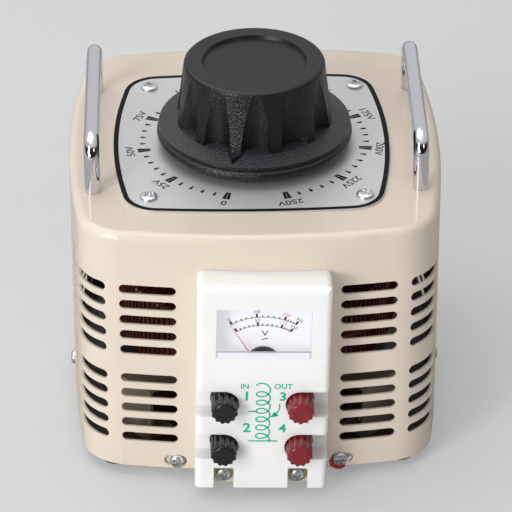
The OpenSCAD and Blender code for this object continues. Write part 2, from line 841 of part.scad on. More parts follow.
winding_in = core_id / 2 - wrap_t - wrap_gap - wire_d;
winding_out = core_od / 2 + wrap_t + wrap_gap + wire_d;
wire_w = 1.4;
turn_step = (sweep + 3) / (turns - 1);
module turn_of_wire() {
    rotate([90, 0, 0]) linear_extrude(wire_w, center = true) difference() {
        translate([winding_in, 0]) square([winding_out - winding_in, winding_h]);
        translate([winding_in + wire_d, wire_d])
            square([winding_out - winding_in - 2 * wire_d, winding_h - 2 * wire_d]);
    }
}

module winding() {
    color(copper_red) on_shaft(disc_top) for (k = [0 : turns - 1])
        rotate(rest_a + 1.5 - k * turn_step) turn_of_wire();
}

upper_disc_r = 44;
module upper_disc() {
    color("#7b5a3a") on_shaft(winding_top) ring(2 * upper_disc_r, hub_d + 4 * shank_gap, disc_t);
}

// Bearing hub, its nut and bushes, and the shaft
bush_l = 14;
module bearing_hub() {
    color(steel) on_shaft(hub_bottom) difference() {
        union() {
            cylinder(d = hub_flange_d, h = hub_flange_h);
            cylinder(d = hub_d, h = hub_top - hub_bottom);
        }
        translate([0, 0, -1]) cylinder(d = bush_d + 2 * seat_fit, h = hub_top - hub_bottom + 2);
    }
}

module hub_nut() {
    color(steel) on_shaft(upper_disc_top) hex_nut(hub_d + 10, hub_d + 2 * seat_fit, nut_h);
}

module shaft_bushes() {
    color(brass) for (z = [hub_bottom, hub_top - bush_l])
        on_shaft(z) ring(bush_d, shaft_d + 2 * run_fit, bush_l);
}

module control_shaft() {
    color(steel) on_shaft(shaft_bottom) cylinder(d = shaft_d, h = shaft_top - shaft_bottom);
}

module shaft_collar() {
    color(steel) on_shaft(shaft_bottom) ring(2 * shaft_d, shaft_d + 2 * seat_fit, collar_h);
}

// Collector ring and its contact, and the pin that stops the arm at both ends
collector_r = 32.5;
collector_w = 7;
collector_t = 2;
module collector_ring() {
    color(brass) on_shaft(upper_disc_top)
        ring(2 * collector_r + collector_w, 2 * collector_r - collector_w, collector_t);
}

pin_d = 4;
pin_r = (arm_w / 2 + pin_d / 2 + pass_gap) / sin((360 - sweep) / 2);
module stop_pin() {
    color(steel) on_shaft(upper_disc_top) translate([0, -pin_r, 0])
        cylinder(d = pin_d, h = arm_z + arm_h / 2 - upper_disc_top);
}

contact_w = 5;
module collector_contact() {
    bottom = upper_disc_top + collector_t + pass_gap;
    color(brass) on_shaft(bottom) at_rest_angle()
        translate([collector_r - contact_w / 2, -contact_w / 2, 0]) cube([contact_w, contact_w, arm_z - bottom]);
}

// Brush arm and the brush that runs on the bared top of the winding
holder_w = brush_w + 6;
arm_l = brush_r + holder_w / 2;
holder_z = winding_top + 4.5;
brush_l = 9;
arm_hub_d = 24;
module brush_arm() {
    color(steel) on_shaft(0) at_rest_angle() difference() {
        union() {
            translate([0, 0, hub_top + pass_gap]) cylinder(d = arm_hub_d, h = arm_hub_h);
            translate([0, -arm_w / 2, arm_z]) cube([arm_l, arm_w, arm_h]);
        }
        cylinder(d = shaft_d + 2 * seat_fit, h = case_top);
    }
}

module brush_holder() {
    color(brass) on_shaft(holder_z) at_rest_angle() translate([brush_r, 0, 0]) difference() {
        translate([-holder_w / 2, -holder_w / 2, 0]) cube([holder_w, holder_w, arm_z - holder_z]);
        translate([-brush_w / 2 - seat_fit, -brush_w / 2 - seat_fit, -1])
            cube([brush_w + 2 * seat_fit, brush_w + 2 * seat_fit, arm_z - holder_z + 2]);
    }
}

module carbon_brush() {
    color(black) on_shaft(winding_top + pass_gap) at_rest_angle()
        translate([brush_r - brush_w / 2, -brush_w / 2, 0]) cube([brush_w, brush_w, brush_l]);
}

// The spring is a rolled strip between the brush and the arm
spring_t = 0.4;
module brush_spring() {
    from = winding_top + pass_gap + brush_l;
    coil_d = arm_z - from;
    color(steel) on_shaft(from + coil_d / 2) at_rest_angle() translate([brush_r, brush_w / 2 - 1, 0])
        rotate([90, 0, 0]) ring(coil_d, coil_d - 2 * spring_t, brush_w - 2);
}

// Knob: a skirt with a rounded lip, a tapered fluted grip, a recessed top and a pointer
lip_r = 3;
rim_r = 2;
groove_z = 6.4;
skirt_top_z = 8;
grip_z = 10.5;
skirt_edge_r = skirt_d / 2 - 1;
dish_d = 51;
dish_depth = 1.6;
boss_d = 24;
cavity_d = 58;
cavity_h = knob_h - 8;
pointer_w = 7.6;
pointer_tip_r = skirt_d / 2 - 3;
set_screw_z = 20;
set_screw_d = 5;
set_screw_l = 9;

module knob_skirt() {
    rotate_extrude() {
        square([skirt_d / 2 - lip_r, groove_z]);
        translate([skirt_d / 2 - lip_r, lip_r]) circle(lip_r);
        polygon([[0, lip_r], [skirt_edge_r - 1, lip_r], [skirt_edge_r - 1, groove_z],
            [skirt_edge_r, groove_z + 0.3], [skirt_edge_r, skirt_top_z],
            [grip_d / 2, grip_z], [cavity_d / 2, grip_z + 2], [0, grip_z + 2]]);
    }
}

// The flutes lean outwards, so that they run out just under the top
flute_foot_r = grip_d / 2 - flute_depth + flute_r;
flute_head_r = knob_top_d / 2 + flute_r - 0.1;
flute_lean = atan2(flute_head_r - flute_foot_r, knob_h - grip_z);
module knob_grip() {
    difference() {
        rotate_extrude() {
            polygon([[0, lip_r], [grip_d / 2 + 0.6, lip_r], [grip_d / 2, grip_z],
                [knob_top_d / 2, knob_h - rim_r], [knob_top_d / 2 - rim_r, knob_h], [0, knob_h]]);
            translate([knob_top_d / 2 - rim_r, knob_h - rim_r]) circle(rim_r);
        }
        for (k = [0 : flutes - 1]) rotate((k + 0.5) * 360 / flutes)
            translate([flute_foot_r, 0, grip_z]) rotate([0, flute_lean, 0])
                translate([0, 0, -knob_h / 2]) cylinder(r = flute_r, h = 2 * knob_h);
    }
}

module control_knob() {
    color(black) on_shaft(knob_z) at_rest_angle() difference() {
        union() {
            knob_skirt();
            knob_grip();
            translate([0, 0, lip_r]) linear_extrude(grip_z - lip_r + 0.6)
                polygon([[0, -pointer_w / 2], [grip_d / 2, -pointer_w / 2], [pointer_tip_r, 0],
                    [grip_d / 2, pointer_w / 2], [0, pointer_w / 2]]);
        }
        translate([0, 0, knob_h - dish_depth]) cylinder(d1 = dish_d - 2, d2 = dish_d, h = dish_depth + tiny);
        translate([0, 0, -1]) ring(cavity_d, boss_d, cavity_h + 1);
        translate([0, 0, -1]) ring(skirt_d - 8, boss_d, lip_r + 1);
        translate([0, 0, -1]) cylinder(d = shaft_d + 2 * seat_fit, h = knob_h - 7.5);
        translate([0, 0, set_screw_z]) rotate([0, -90, 0])
            cylinder(d = set_screw_d + 2 * seat_fit, h = skirt_d);
    }
}

module knob_set_screw() {
    color(steel) on_shaft(knob_z + set_screw_z) at_rest_angle() rotate([0, -90, 0])
        translate([0, 0, shaft_d / 2 + seat_fit]) cylinder(d = set_screw_d, h = set_screw_l);
}

// Internal leads: a lug on each stud, and the wires from the lugs to the winding and collector
lead_d = 2.6;
bead_d = lead_d + 0.2;
lug_d = 9.5;
lug_w = 3.4;
lug_reach = 6.8;
lug_run = 1.4;
lug_bite = 0.3;
lug_depth = pocket_d + floor_t;
tap_a = rest_a - sweep * 220 / 250;
lead_r = winding_out + lead_d / 2 + touch_gap;
function winding_at(share) = disc_top + share * (upper_disc_top - disc_t - disc_top);
function on_winding(a, share) = [lead_r * cos(a), shaft_y + lead_r * sin(a), winding_at(share)];

// A point on the back of a lug's tongue, up or down from its stud, in the case's frame
function lug_point(i, up) =
    let (t = terminals[i] + [0, up], c = cos(panel_lean), s = sin(panel_lean))
    [panel_x + t[0] * c + t[1] * s,
        -case_d / 2 - panel_d + lug_depth + lug_t + lead_d / 2 - lug_bite,
        cover_z + t[1] * c - t[0] * s];
function lug_end(i, way) = [lug_point(i, way * (lug_reach - lug_run)), lug_point(i, way * (lug_reach + lug_run))];

// A ring lug with a tongue on each of the given sides
module lug(i, ways) {
    at_terminal(i, lug_depth + lug_t) {
        ring(lug_d, stud_d + 2 * seat_fit, lug_t);
        for (way = ways) translate([0, way * (lug_d / 4 + lug_reach / 2), lug_t / 2])
            cube([lug_w, lug_reach - lug_d / 2 + 2 * lug_run + 1, lug_t], center = true);
    }
}

// A wire through the points of a path, with a bead at each bend
module wire_along(path) {
    for (i = [0 : len(path) - 2]) {
        run = path[i + 1] - path[i];
        translate(path[i]) rotate([0, acos(run[2] / norm(run)), atan2(run[1], run[0])])
            cylinder(d = lead_d, h = norm(run));
    }
    for (i = [1 : len(path) - 2]) translate(path[i]) sphere(d = bead_d);
}

module lead_wires() {
    behind = -case_d / 2 + 9;
    start = rest_a + 1.5;
    above = upper_disc_top + lead_d / 2 + touch_gap;
    ring_edge = shaft_y - collector_r - collector_w / 2 - touch_gap;
    tap = on_winding(tap_a, 0.68);
    tap_side = on_winding(tap_a - 14, 0.72) + [6, -6, 0];
    color("#b03a2e") {
        lug(0, [1]);
        lug(1, [1, -1]);
        lug(2, [1]);
        lug(3, [-1]);
        wire_along(concat(lug_end(0, 1), [[lug_point(0, 0)[0] + 7, behind, winding_at(0.78)],
            [lug_point(2, 0)[0] + 10, behind + 4, winding_at(0.78)], tap_side, tap]));
        wire_along(concat(lug_end(1, 1), [[lug_point(1, 0)[0], behind + 2, winding_at(0.27)],
            on_winding(start, 0.42)]));
        wire_along(concat(lug_end(2, 1), [[lug_point(2, 0)[0] / 2, behind + 2, above - 8],
            [3, behind + 8, above], [3, ring_edge, above]]));
        wire_along(concat(lug_end(3, -1), [lug_end(3, -1)[1] + [-3, 3, -1], lug_end(1, -1)[1] + [3, 3, -1],
            lug_end(1, -1)[1], lug_end(1, -1)[0]]));
    }
}

base_plate();
rubber_feet();
foot_screws();
housing_cover();
housing_screws();
handle_left();
handle_right();
handle_nuts();
dial_plate();
dial_plate_screws();
terminal_panel();
panel_screws();
meter_case();
meter_face();
meter_window();
meter_movement();
meter_needle();
terminal_studs();
stud_nuts();
clamp_washer_1();
clamp_washer_2();
clamp_washer_3();
clamp_washer_4();
terminal_cap_1();
terminal_cap_2();
terminal_cap_3();
terminal_cap_4();
core_stand();
stand_screws();
lower_disc();
toroid_core();
core_wrap();
winding();
upper_disc();
bearing_hub();
hub_nut();
shaft_bushes();
collector_ring();
stop_pin();
lead_wires();
control_shaft();
control_knob();
knob_set_screw();
brush_arm();
brush_holder();
carbon_brush();
brush_spring();
collector_contact();
shaft_collar();
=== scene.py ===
# %% [markdown]
# # A bench variable autotransformer
# The part is a steel case with a big knob on a volt dial, and a white terminal panel with a needle meter on
# its front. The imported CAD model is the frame: it fixes every size and every moving body. This lesson
# dresses it. Pieces whose CAD shape is right only get a finish. Printed marks, screw heads, washers, handle
# rods, terminal caps and the winding are built here in mesh code.

# %% Load the frame
import math
import random

import bmesh
import bpy
from mathutils import Matrix, Vector


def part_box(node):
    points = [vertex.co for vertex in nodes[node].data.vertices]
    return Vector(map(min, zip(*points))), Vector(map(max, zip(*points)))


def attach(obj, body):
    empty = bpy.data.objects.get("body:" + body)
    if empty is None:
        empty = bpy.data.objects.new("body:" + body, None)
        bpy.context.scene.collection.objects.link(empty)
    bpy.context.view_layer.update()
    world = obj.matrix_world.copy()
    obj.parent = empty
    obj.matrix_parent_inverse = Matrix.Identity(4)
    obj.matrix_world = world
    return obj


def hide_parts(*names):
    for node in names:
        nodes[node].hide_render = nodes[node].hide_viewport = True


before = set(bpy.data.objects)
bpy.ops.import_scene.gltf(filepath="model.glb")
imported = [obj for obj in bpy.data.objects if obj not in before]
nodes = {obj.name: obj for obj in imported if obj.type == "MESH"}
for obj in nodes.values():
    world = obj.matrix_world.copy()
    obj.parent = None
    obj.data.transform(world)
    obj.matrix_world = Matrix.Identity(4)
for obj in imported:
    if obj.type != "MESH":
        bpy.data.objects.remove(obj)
scene = bpy.context.scene
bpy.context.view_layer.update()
MM = 0.001

# %% [markdown]
# ## The camera
# A product photo like this one is taken from well back with a long lens, so the case's upright edges stay
# almost parallel. The place and the lens were worked out from the corners of the case. The view looks down
# by 32 degrees.

# %% Camera
EYE = Vector((-0.0336, -1.4848, 0.9957))
AIM = Vector((0.00087, 0.0, 0.0702))
FOCAL_LENGTH, SENSOR_WIDTH = 243.8, 36


def look(spot, aim):
    """The turn of a camera or a lamp at spot that faces aim."""
    return (aim - spot).to_track_quat("-Z", "Y").to_euler()


lens = bpy.data.cameras.new("photo_camera")
lens.lens = FOCAL_LENGTH
lens.sensor_width = SENSOR_WIDTH
camera = bpy.data.objects.new("photo_camera", lens)
camera.location = EYE
camera.rotation_euler = look(EYE, AIM)
scene.collection.objects.link(camera)
scene.camera = camera
scene.view_settings.view_transform = "Standard"
print("camera", round((EYE - AIM).length, 3), "m from the case")

# %% [markdown]
# ## Wiring shaders with plain arithmetic
# A material is a graph of nodes. Adding nodes one call at a time is slow to read, so this class wraps one
# socket and lets ordinary arithmetic add the Math nodes: `0.3 + 0.2 * spots` adds two. One method, `node`,
# makes every other kind: it takes the type, then the settings, then what goes into the sockets.

# %% The wire class
# Cosines past which a face counts as looking inward, or up
INWARD, UPWARD = -0.66, 0.5


class Wire:
    """A socket in a material's node tree; sums with it add Math nodes."""

    def __init__(self, tree, socket=None):
        self.tree = tree
        self.socket = socket

    def node(self, kind, settings=None, sockets=None, out=0):
        made = self.tree.nodes.new(kind)
        for key, value in (settings or {}).items():
            if key == "stops":
                self.set_stops(made.color_ramp, value)
            else:
                setattr(made, key, value)
        for key, value in (sockets or {}).items():
            if isinstance(value, Wire):
                self.tree.links.new(value.socket, made.inputs[key])
            else:
                made.inputs[key].default_value = value
        return Wire(self.tree, made.outputs[out] if made.outputs else None)

    def set_stops(self, ramp, stops):
        while len(ramp.elements) < len(stops):
            ramp.elements.new(1.0)
        for element, (place, colour) in zip(ramp.elements, stops):
            element.position = place
            element.color = colour

    def math(self, operation, *terms):
        return self.node("ShaderNodeMath", {"operation": operation}, dict(enumerate(terms)))

    def __add__(self, other):
        return self.math("ADD", self, other)

    def __sub__(self, other):
        return self.math("SUBTRACT", self, other)

    def __rsub__(self, other):
        return self.math("SUBTRACT", other, self)

    def __mul__(self, other):
        return self.math("MULTIPLY", self, other)

    __radd__ = __add__
    __rmul__ = __mul__

    def __gt__(self, limit):
        return self.math("GREATER_THAN", self, limit)

    def __lt__(self, limit):
        return self.math("LESS_THAN", self, limit)

    def mix(self, colour_a, colour_b):
        """This wire, 0 to 1, blends from the first colour to the second."""
        return self.node("ShaderNodeMix", {"data_type": "RGBA"}, {0: self, 6: colour_a, 7: colour_b}, 2)

    def ramp(self, stops):
        """This wire, 0 to 1, picks a colour from a row of stops."""
        return self.node("ShaderNodeValToRGB", {"stops": stops}, {0: self})

    def vector(self, operation, *terms, out=0):
        return self.node("ShaderNodeVectorMath", {"operation": operation}, dict(enumerate(terms)), out)

    def part(self, name):
        """X, Y or Z of this vector."""
        return self.node("ShaderNodeSeparateXYZ", sockets={0: self}, out=name)

    def place(self, stretch=(1, 1, 1)):
        """Where a point is on its piece, in metres, stretched along the axes."""
        return self.vector("MULTIPLY", self.node("ShaderNodeTexCoord", out="Object"), stretch)

    def axis(self, name):
        """How far along X, Y or Z a point is on its piece, in metres."""
        return self.place().part(name)

    def normal(self):
        return self.node("ShaderNodeNewGeometry", out="Normal")

    def faces_in(self):
        """1 where an upright wall looks towards the middle of its piece."""
        outward = self.vector("NORMALIZE", self.place((1, 1, 0)))
        return self.vector("DOT_PRODUCT", outward, self.normal(), out="Value") < INWARD

    def faces_up(self):
        """1 where a face looks up."""
        return self.normal().part("Z") > UPWARD

    def noise(self, size, detail, stretch=(1, 1, 1)):
        """Cloudy noise whose spots are about size millimetres across."""
        sockets = {"Vector": self.place(stretch), "Scale": 1 / (size * MM), "Detail": detail}
        return self.node("ShaderNodeTexNoise", sockets=sockets, out="Fac")

    def bump(self, height, depth):
        """A normal that follows height, 0 to 1, over depth millimetres."""
        sockets = {"Height": height, "Distance": depth * MM, "Strength": 1.0}
        return self.node("ShaderNodeBump", sockets=sockets)

    def surface(self, sockets):
        """Ends a material in one surface."""
        shader = self.node("ShaderNodeBsdfPrincipled", sockets=sockets)
        self.node("ShaderNodeOutputMaterial", sockets={"Surface": shader})


def begin(name):
    """A new material with an empty node tree, and a wire to build it with."""
    material = bpy.data.materials.new(name)
    material.use_nodes = True
    material.node_tree.nodes.clear()
    return material, Wire(material.node_tree)


def srgb(red, green, blue):
    """A colour as seen on a screen, 0 to 255, as the linear colour that shaders use."""
    shares = [value / 255 for value in (red, green, blue)]
    return [s / 12.92 if s < 0.04 else ((s + 0.055) / 1.055) ** 2.4 for s in shares] + [1.0]


def shade(colour, share):
    """A colour made darker or paler, no further than full light."""
    return [min(1.0, c * share) for c in colour[:3]] + [1.0]


print("mid grey on screen is", round(srgb(128, 128, 128)[0], 3), "of white in linear light")

# %% [markdown]
# ## The studio
# The photo has a plain pale grey ground with a soft shadow. A wide floor sheet and a pale surrounding light
# do that. One tall soft lamp at the front left is the key, and a low one beside it gives upright shiny
# faces their glints. A weak lamp fills from the right, and a high one lights the top. Their strengths add
# up to a plain level, so that a colour renders about as it is written. The camera sees the paper partly
# through a haze of its own colour, which keeps the shadow soft and pale. Shiny things mirror the paper a
# little darker than it is: a painted shade, as the paper near the case lies in its shade.

# %% Floor
FLOOR_R, FLOOR_SIDES = 9.0, 96
PAPER, PALE_PAPER, SHADED_MIRROR_PAPER = srgb(214, 215, 216), srgb(217, 218, 219), srgb(172, 172, 172)
HAZE = 0.35


def floor_finish():
    material, w = begin("floor_paper")
    tone = w.noise(120, 3).mix(PAPER, PALE_PAPER)
    mirrored = w.node("ShaderNodeLightPath", out="Is Glossy Ray")
    seen = w.node("ShaderNodeLightPath", out="Is Camera Ray")
    paper = w.node("ShaderNodeBsdfPrincipled", sockets={
        # Shiny things see the paper darker: painted shade for the paper near the case
        "Base Color": mirrored.mix(tone, SHADED_MIRROR_PAPER),
        "Roughness": 0.9,
    })
    haze = w.node("ShaderNodeEmission", sockets={"Color": tone})
    mixed = w.node("ShaderNodeMixShader", sockets={0: HAZE * seen, 1: paper, 2: haze})
    w.node("ShaderNodeOutputMaterial", sockets={"Surface": mixed})
    return material


disc = bmesh.new()
bmesh.ops.create_circle(disc, cap_ends=True, segments=FLOOR_SIDES, radius=FLOOR_R)
floor_mesh = bpy.data.meshes.new("floor")
disc.to_mesh(floor_mesh)
disc.free()
floor_mesh.materials.append(floor_finish())
floor = bpy.data.objects.new("floor", floor_mesh)
scene.collection.objects.link(floor)
print("floor", 2 * FLOOR_R, "m across")

# %% Lamps and surrounding light
LAMP_AIM = Vector((0, 0, 0.07))
ROOM_GLOW, MIRRORED_GLOW = 0.5, 0.45
WHITE, BLACK = srgb(255, 255, 255), srgb(0, 0, 0)


def lamp(name, spot, size, watts, tint, tall=1.0):
    """A soft lamp that faces the middle of the case; tall is its height over its width."""
    light = bpy.data.lights.new(name, "AREA")
    light.shape = "RECTANGLE"
    light.size = size
    light.size_y = size * tall
    light.energy = watts
    light.color = tint
    holder = bpy.data.objects.new(name, light)
    holder.location = spot
    holder.rotation_euler = look(Vector(spot), LAMP_AIM)
    scene.collection.objects.link(holder)


def pale_room():
    """Light from all round, paler overhead. Shiny things see a white ceiling, pale walls and a dark front."""
    world = bpy.data.worlds.new("pale_room")
    world.use_nodes = True
    world.node_tree.nodes.clear()
    w = Wire(world.node_tree)
    way = w.node("ShaderNodeTexCoord", out="Generated")
    height, depth = way.part("Z"), way.part("Y")
    lit = height.ramp([(0.0, srgb(150, 139, 124)), (0.6, srgb(238, 238, 240))])
    walls = (height + 0.6 * depth).ramp([
        (0.0, srgb(40, 38, 38)),
        (0.2, srgb(60, 58, 60)),
        (0.4, srgb(206, 207, 209)),
        (1.0, srgb(216, 217, 218)),
    ])
    ceiling = height.ramp([(0.76, BLACK), (0.93, WHITE)])
    mirrored = w.node("ShaderNodeLightPath", out="Is Glossy Ray")
    glow = w.node("ShaderNodeBackground", sockets={
        "Color": mirrored.mix(lit, ceiling.mix(walls, WHITE)),
        "Strength": ROOM_GLOW + MIRRORED_GLOW * mirrored,
    })
    w.node("ShaderNodeOutputWorld", sockets={"Surface": glow})
    return world


lamp("key_lamp", (-1.85, -2.0, 1.4), size=0.85, watts=35, tint=(0.98, 0.99, 1.0), tall=2.1)
lamp("low_lamp", (-1.4, -2.1, 0.5), size=1.0, watts=20, tint=(0.97, 0.99, 1.0), tall=0.4)
lamp("fill_lamp", (1.6, -1.9, 1.5), size=0.6, watts=3, tint=(1.0, 0.97, 0.93))
lamp("top_lamp", (-0.6, 0.5, 2.4), size=2.6, watts=32, tint=(1.0, 0.98, 0.96))
scene.world = pale_room()
print("four lamps and a pale room")

# %% [markdown]
# ## Finishes
# Each finish is a small recipe: a colour that drifts a little, a roughness that varies, and a bump at the
# real scale of the grain. Families share a recipe: moulded plastics, and plated or turned metals. White
# plastic lets a little light in under its skin, which softens its shadows.

# %% Recipes for plastics and metals
SKIN_DEPTH, SKIN_TINT = 5 * MM, (1.0, 0.92, 0.84)
SCRATCH, SCRATCH_DEPTH = 0.6, 0.004


def moulded(name, colour, drift, grain, depth, rough, coat=0.0, shine=0.5, deep=0.0):
    """Moulded plastic, rubber, board or paper: cloudy colour, grain sized in mm, uneven gloss."""
    material, w = begin(name)
    cloud = w.noise(18, 3)
    speck = w.noise(grain, 2)
    w.surface({
        "Base Color": cloud.mix(shade(colour, 1 - drift), shade(colour, 1 + drift)),
        "Roughness": rough - 0.06 + 0.12 * speck,
        "Normal": w.bump(speck, depth),
        "Specular IOR Level": shine,
        "Coat Weight": coat,
        "Coat Roughness": 0.12,
        "Subsurface Weight": deep,
        "Subsurface Radius": SKIN_TINT,
        "Subsurface Scale": SKIN_DEPTH,
    })
    return material


def plated(name, colour, rough, wear, streak=(1, 1, 1)):
    """Metal: fine streaks or spots in the gloss, and a slight stain in the colour."""
    material, w = begin(name)
    scratch = w.noise(SCRATCH, 3, streak)
    stain = w.noise(9, 4)
    w.surface({
        "Base Color": stain.mix(shade(colour, 1 - wear), colour),
        "Metallic": 1.0,
        "Roughness": rough - 0.06 + 0.14 * scratch,
        "Normal": w.bump(scratch, SCRATCH_DEPTH),
    })
    return material


def dress(material, *names):
    """Puts one finish on CAD nodes."""
    for name in names:
        nodes[name].data.materials.clear()
        nodes[name].data.materials.append(material)


print("recipes: moulded, plated")

# %% [markdown]
# ### Case paint
# The cover is drawn sheet steel, sprayed with a beige gloss enamel. Sprayed enamel is never quite flat: the
# orange peel is a low bump of about 2 mm. The colour drifts slightly where the coat is thicker. Inside, the
# walls are painted dark as shade inside the closed case: the shader finds them because they face the middle
# of the case. The base plate's floor gets that painted shade too, but not its lip under the panel.

# %% Case paint
PEEL, DUST = 2.4, 0.5
LIP_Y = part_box("base_plate")[0].y + 4 * MM
BEIGE = {
    "colour_a": srgb(219, 206, 189),
    "colour_b": srgb(224, 211, 195),
    # Dark colour painted on the inner walls as the shade inside the case
    "painted_inner_shade": srgb(58, 44, 36),
    "rough": 0.28,
}


def enamel(name, inside, colour_a, colour_b, painted_inner_shade, rough):
    """Sprayed gloss enamel; inside says where the walls are painted dark as shade."""
    material, w = begin(name)
    peel = w.noise(PEEL, 2)
    dust = w.noise(DUST, 2)
    w.surface({
        "Base Color": inside(w).mix(w.noise(38, 3).mix(colour_a, colour_b), painted_inner_shade),
        "Roughness": rough + 0.08 * dust,
        "Normal": w.bump(peel + 0.15 * dust, 0.012),
        "Coat Weight": 0.35,
        "Coat Roughness": 0.08,
    })
    return material


# Where the base plate gets painted shade
def inside_base(w):
    """The base plate's inner walls, and its floor behind the lip."""
    return w.faces_in() + w.faces_up() * (w.axis("Y") > LIP_Y)


dress(enamel("case_paint", Wire.faces_in, **BEIGE), "housing_cover")
dress(enamel("base_paint", inside_base, **BEIGE), "base_plate")
print("case paint on the cover and the base plate")

# %% [markdown]
# ### Knob plastic
# The knob is black moulded plastic with a leather grain, so that it isn't slippery. A noise with spots
# about 1 mm across gives the grain; bump is enough because it is only tenths of a millimetre high. The
# plastic is glossy, so each bump that faces a lamp glints. On the skirt the pebbles are painted paler, a
# painted sheen of the grain. The flat top has hands resting on it, so its grain is worn almost smooth.

# %% Knob plastic
KNOB_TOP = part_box("control_knob")[1].z
PEBBLE, FINE_GRAIN, GRAIN_DEPTH = 0.8, 0.35, 0.42
WORN_DEPTH = 5 * MM


def leather_grain(name, colour_a, colour_b, worn_from):
    """Pebbled plastic, worn on what looks up from worn_from."""
    material, w = begin(name)
    pebble = w.noise(PEBBLE, 1)
    fine = w.noise(FINE_GRAIN, 2)
    worn = (w.axis("Z") > worn_from) * w.faces_up()
    # Painted sheen: the skirt's pebbles are coloured paler, as if they caught the light
    skirt_pebble_sheen = w.faces_up() * (1 - worn)
    w.surface({
        "Base Color": (0.1 * w.noise(14, 3) + 0.75 * skirt_pebble_sheen * pebble).mix(colour_a, colour_b),
        "Roughness": 0.24 + 0.1 * fine + 0.08 * worn,
        "Normal": w.bump((1 - 0.95 * worn) * (pebble + 0.08 * fine), GRAIN_DEPTH),
        "Specular IOR Level": 0.44,
    })
    return material


# The second colour is the painted sheen of the skirt's pebbles
knob_plastic = leather_grain("knob_plastic", srgb(2, 2, 4), srgb(58, 57, 65), KNOB_TOP - WORN_DEPTH)
dress(knob_plastic, "control_knob")
print("leather grain on the knob, whose top is at", round(KNOB_TOP / MM, 1), "mm")

# %% [markdown]
# ### Dial plate, chrome, steel, brass and the inside
# The dial is brushed aluminium: a noise stretched a hundred times along X draws the brush lines in gloss
# and bump. The handles are polished chrome plate. Hidden pieces get the finish that such pieces have,
# because the slots show them.

# %% Metals
BRUSH_LINE, BRUSH_STRETCH = 0.35, (0.01, 1, 1)


def brushed(name, colour):
    material, w = begin(name)
    line = w.noise(BRUSH_LINE, 3, BRUSH_STRETCH)
    w.surface({
        "Base Color": (0.35 * w.noise(30, 2) + 0.4 * line).mix(shade(colour, 0.93), colour),
        "Metallic": 0.55,
        "Roughness": 0.38 + 0.16 * line,
        "Normal": w.bump(line, 0.004),
    })
    return material


zinc = plated("zinc_steel", srgb(216, 218, 221), rough=0.32, wear=0.06)
yellow_zinc = plated("yellow_zinc", srgb(196, 192, 140), rough=0.4, wear=0.2)
brass = plated("terminal_brass", srgb(205, 172, 98), rough=0.28, wear=0.25)
chrome = plated("handle_chrome", srgb(226, 227, 232), rough=0.08, wear=0.04, streak=(1, 0.05, 1))
core_steel = plated("core_steel", srgb(120, 121, 124), rough=0.45, wear=0.3, streak=(1, 1, 0.02))
arm_metal = plated("arm_metal", srgb(196, 198, 200), rough=0.4, wear=0.1)
dress(brushed("dial_metal", srgb(212, 212, 213)), "dial_plate")
dress(chrome, "handle_left", "handle_right")
dress(zinc, "foot_screws", "housing_screws", "handle_nuts", "dial_plate_screws", "panel_screws")
dress(zinc, "stand_screws", "bearing_hub", "hub_nut", "stop_pin", "control_shaft", "knob_set_screw")
dress(zinc, "brush_spring", "shaft_collar")
dress(brass, "terminal_studs", "stud_nuts", *[f"clamp_washer_{number}" for number in range(1, 5)])
dress(brass, "shaft_bushes", "collector_ring", "brush_holder", "collector_contact")
dress(arm_metal, "brush_arm")
dress(core_steel, "toroid_core")
print("metals on", sum(1 for n in nodes.values() if n.data.materials), "nodes so far")

# %% Plastics, rubber and board
# After the colour come its drift, the size and the depth of the grain in mm, and the roughness
black_plastic = moulded("black_cap_plastic", srgb(22, 22, 27), 0.1, 0.6, 0.008, 0.2, coat=0.25, shine=0.4)
red_plastic = moulded("red_cap_plastic", srgb(130, 30, 42), 0.08, 0.6, 0.008, 0.2, coat=0.25, shine=0.4)
panel_plastic = moulded("panel_plastic", srgb(249, 248, 245), 0.012, 0.9, 0.012, 0.34, coat=0.15, deep=0.3)
board = moulded("insulating_board", srgb(84, 44, 34), 0.2, 0.8, 0.05, 0.65)
wire_enamel = moulded("enamelled_wire", srgb(96, 30, 26), 0.25, 0.5, 0.01, 0.25, coat=0.3)
dress(panel_plastic, "terminal_panel")
dress(moulded("meter_plastic", srgb(236, 236, 234), 0.02, 0.8, 0.01, 0.4), "meter_case")
dress(moulded("dark_plastic", srgb(34, 34, 36), 0.1, 0.7, 0.02, 0.35), "meter_movement")
dress(moulded("foot_rubber", srgb(34, 34, 35), 0.12, 0.4, 0.03, 0.7), "rubber_feet")
dress(board, "lower_disc", "upper_disc", "core_wrap")
dress(moulded("lead_covering", srgb(104, 28, 24), 0.1, 0.5, 0.02, 0.45), "lead_wires")
dress(moulded("stand_paint", srgb(150, 138, 120), 0.06, 0.8, 0.02, 0.5), "core_stand")
dress(moulded("brush_carbon", srgb(44, 44, 46), 0.2, 0.3, 0.04, 0.6), "carbon_brush")
dress(moulded("needle_paint", srgb(228, 138, 146), 0.05, 0.4, 0.005, 0.4), "meter_needle")
dress(black_plastic, "terminal_cap_1", "terminal_cap_2")
dress(red_plastic, "terminal_cap_3", "terminal_cap_4")
dress(wire_enamel, "winding")
print("plastics on the panel, caps, feet and inside")

# %% [markdown]
# ### The clear meter window
# A clear moulded window passes nearly all light, and mirrors more of the room at a slant. Refraction would
# stop the lamps from lighting the card behind it, so the plastic is made thin to the light: its alpha grows
# with the slant, on the faces that look outward. The thick strip along its foot is frosted, with a grey
# line of painted shade along its upper step, and fine grey lines run up its sides. The card behind is
# white, and it has a painted glow that lifts the shade which the window's frame casts on it.

# %% Clear window
PANEL_SPOT = Vector((0.4, -110.5, 6.0))
PANEL_LEAN = math.radians(1.2)
WINDOW_Y, WINDOW_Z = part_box("meter_window")[0].yz
STRIP_H, STRIP_T, STRIP_STEP_SHADE = 5.6 * MM, 0.3 * MM, 0.4 * MM
LENS_HALF, EDGE_W = 22.4 * MM, 0.7 * MM
BARE_ALPHA, MIRROR_ALPHA, STRIP_ALPHA, EDGE_ALPHA = 0.005, 0.4, 0.88, 0.3


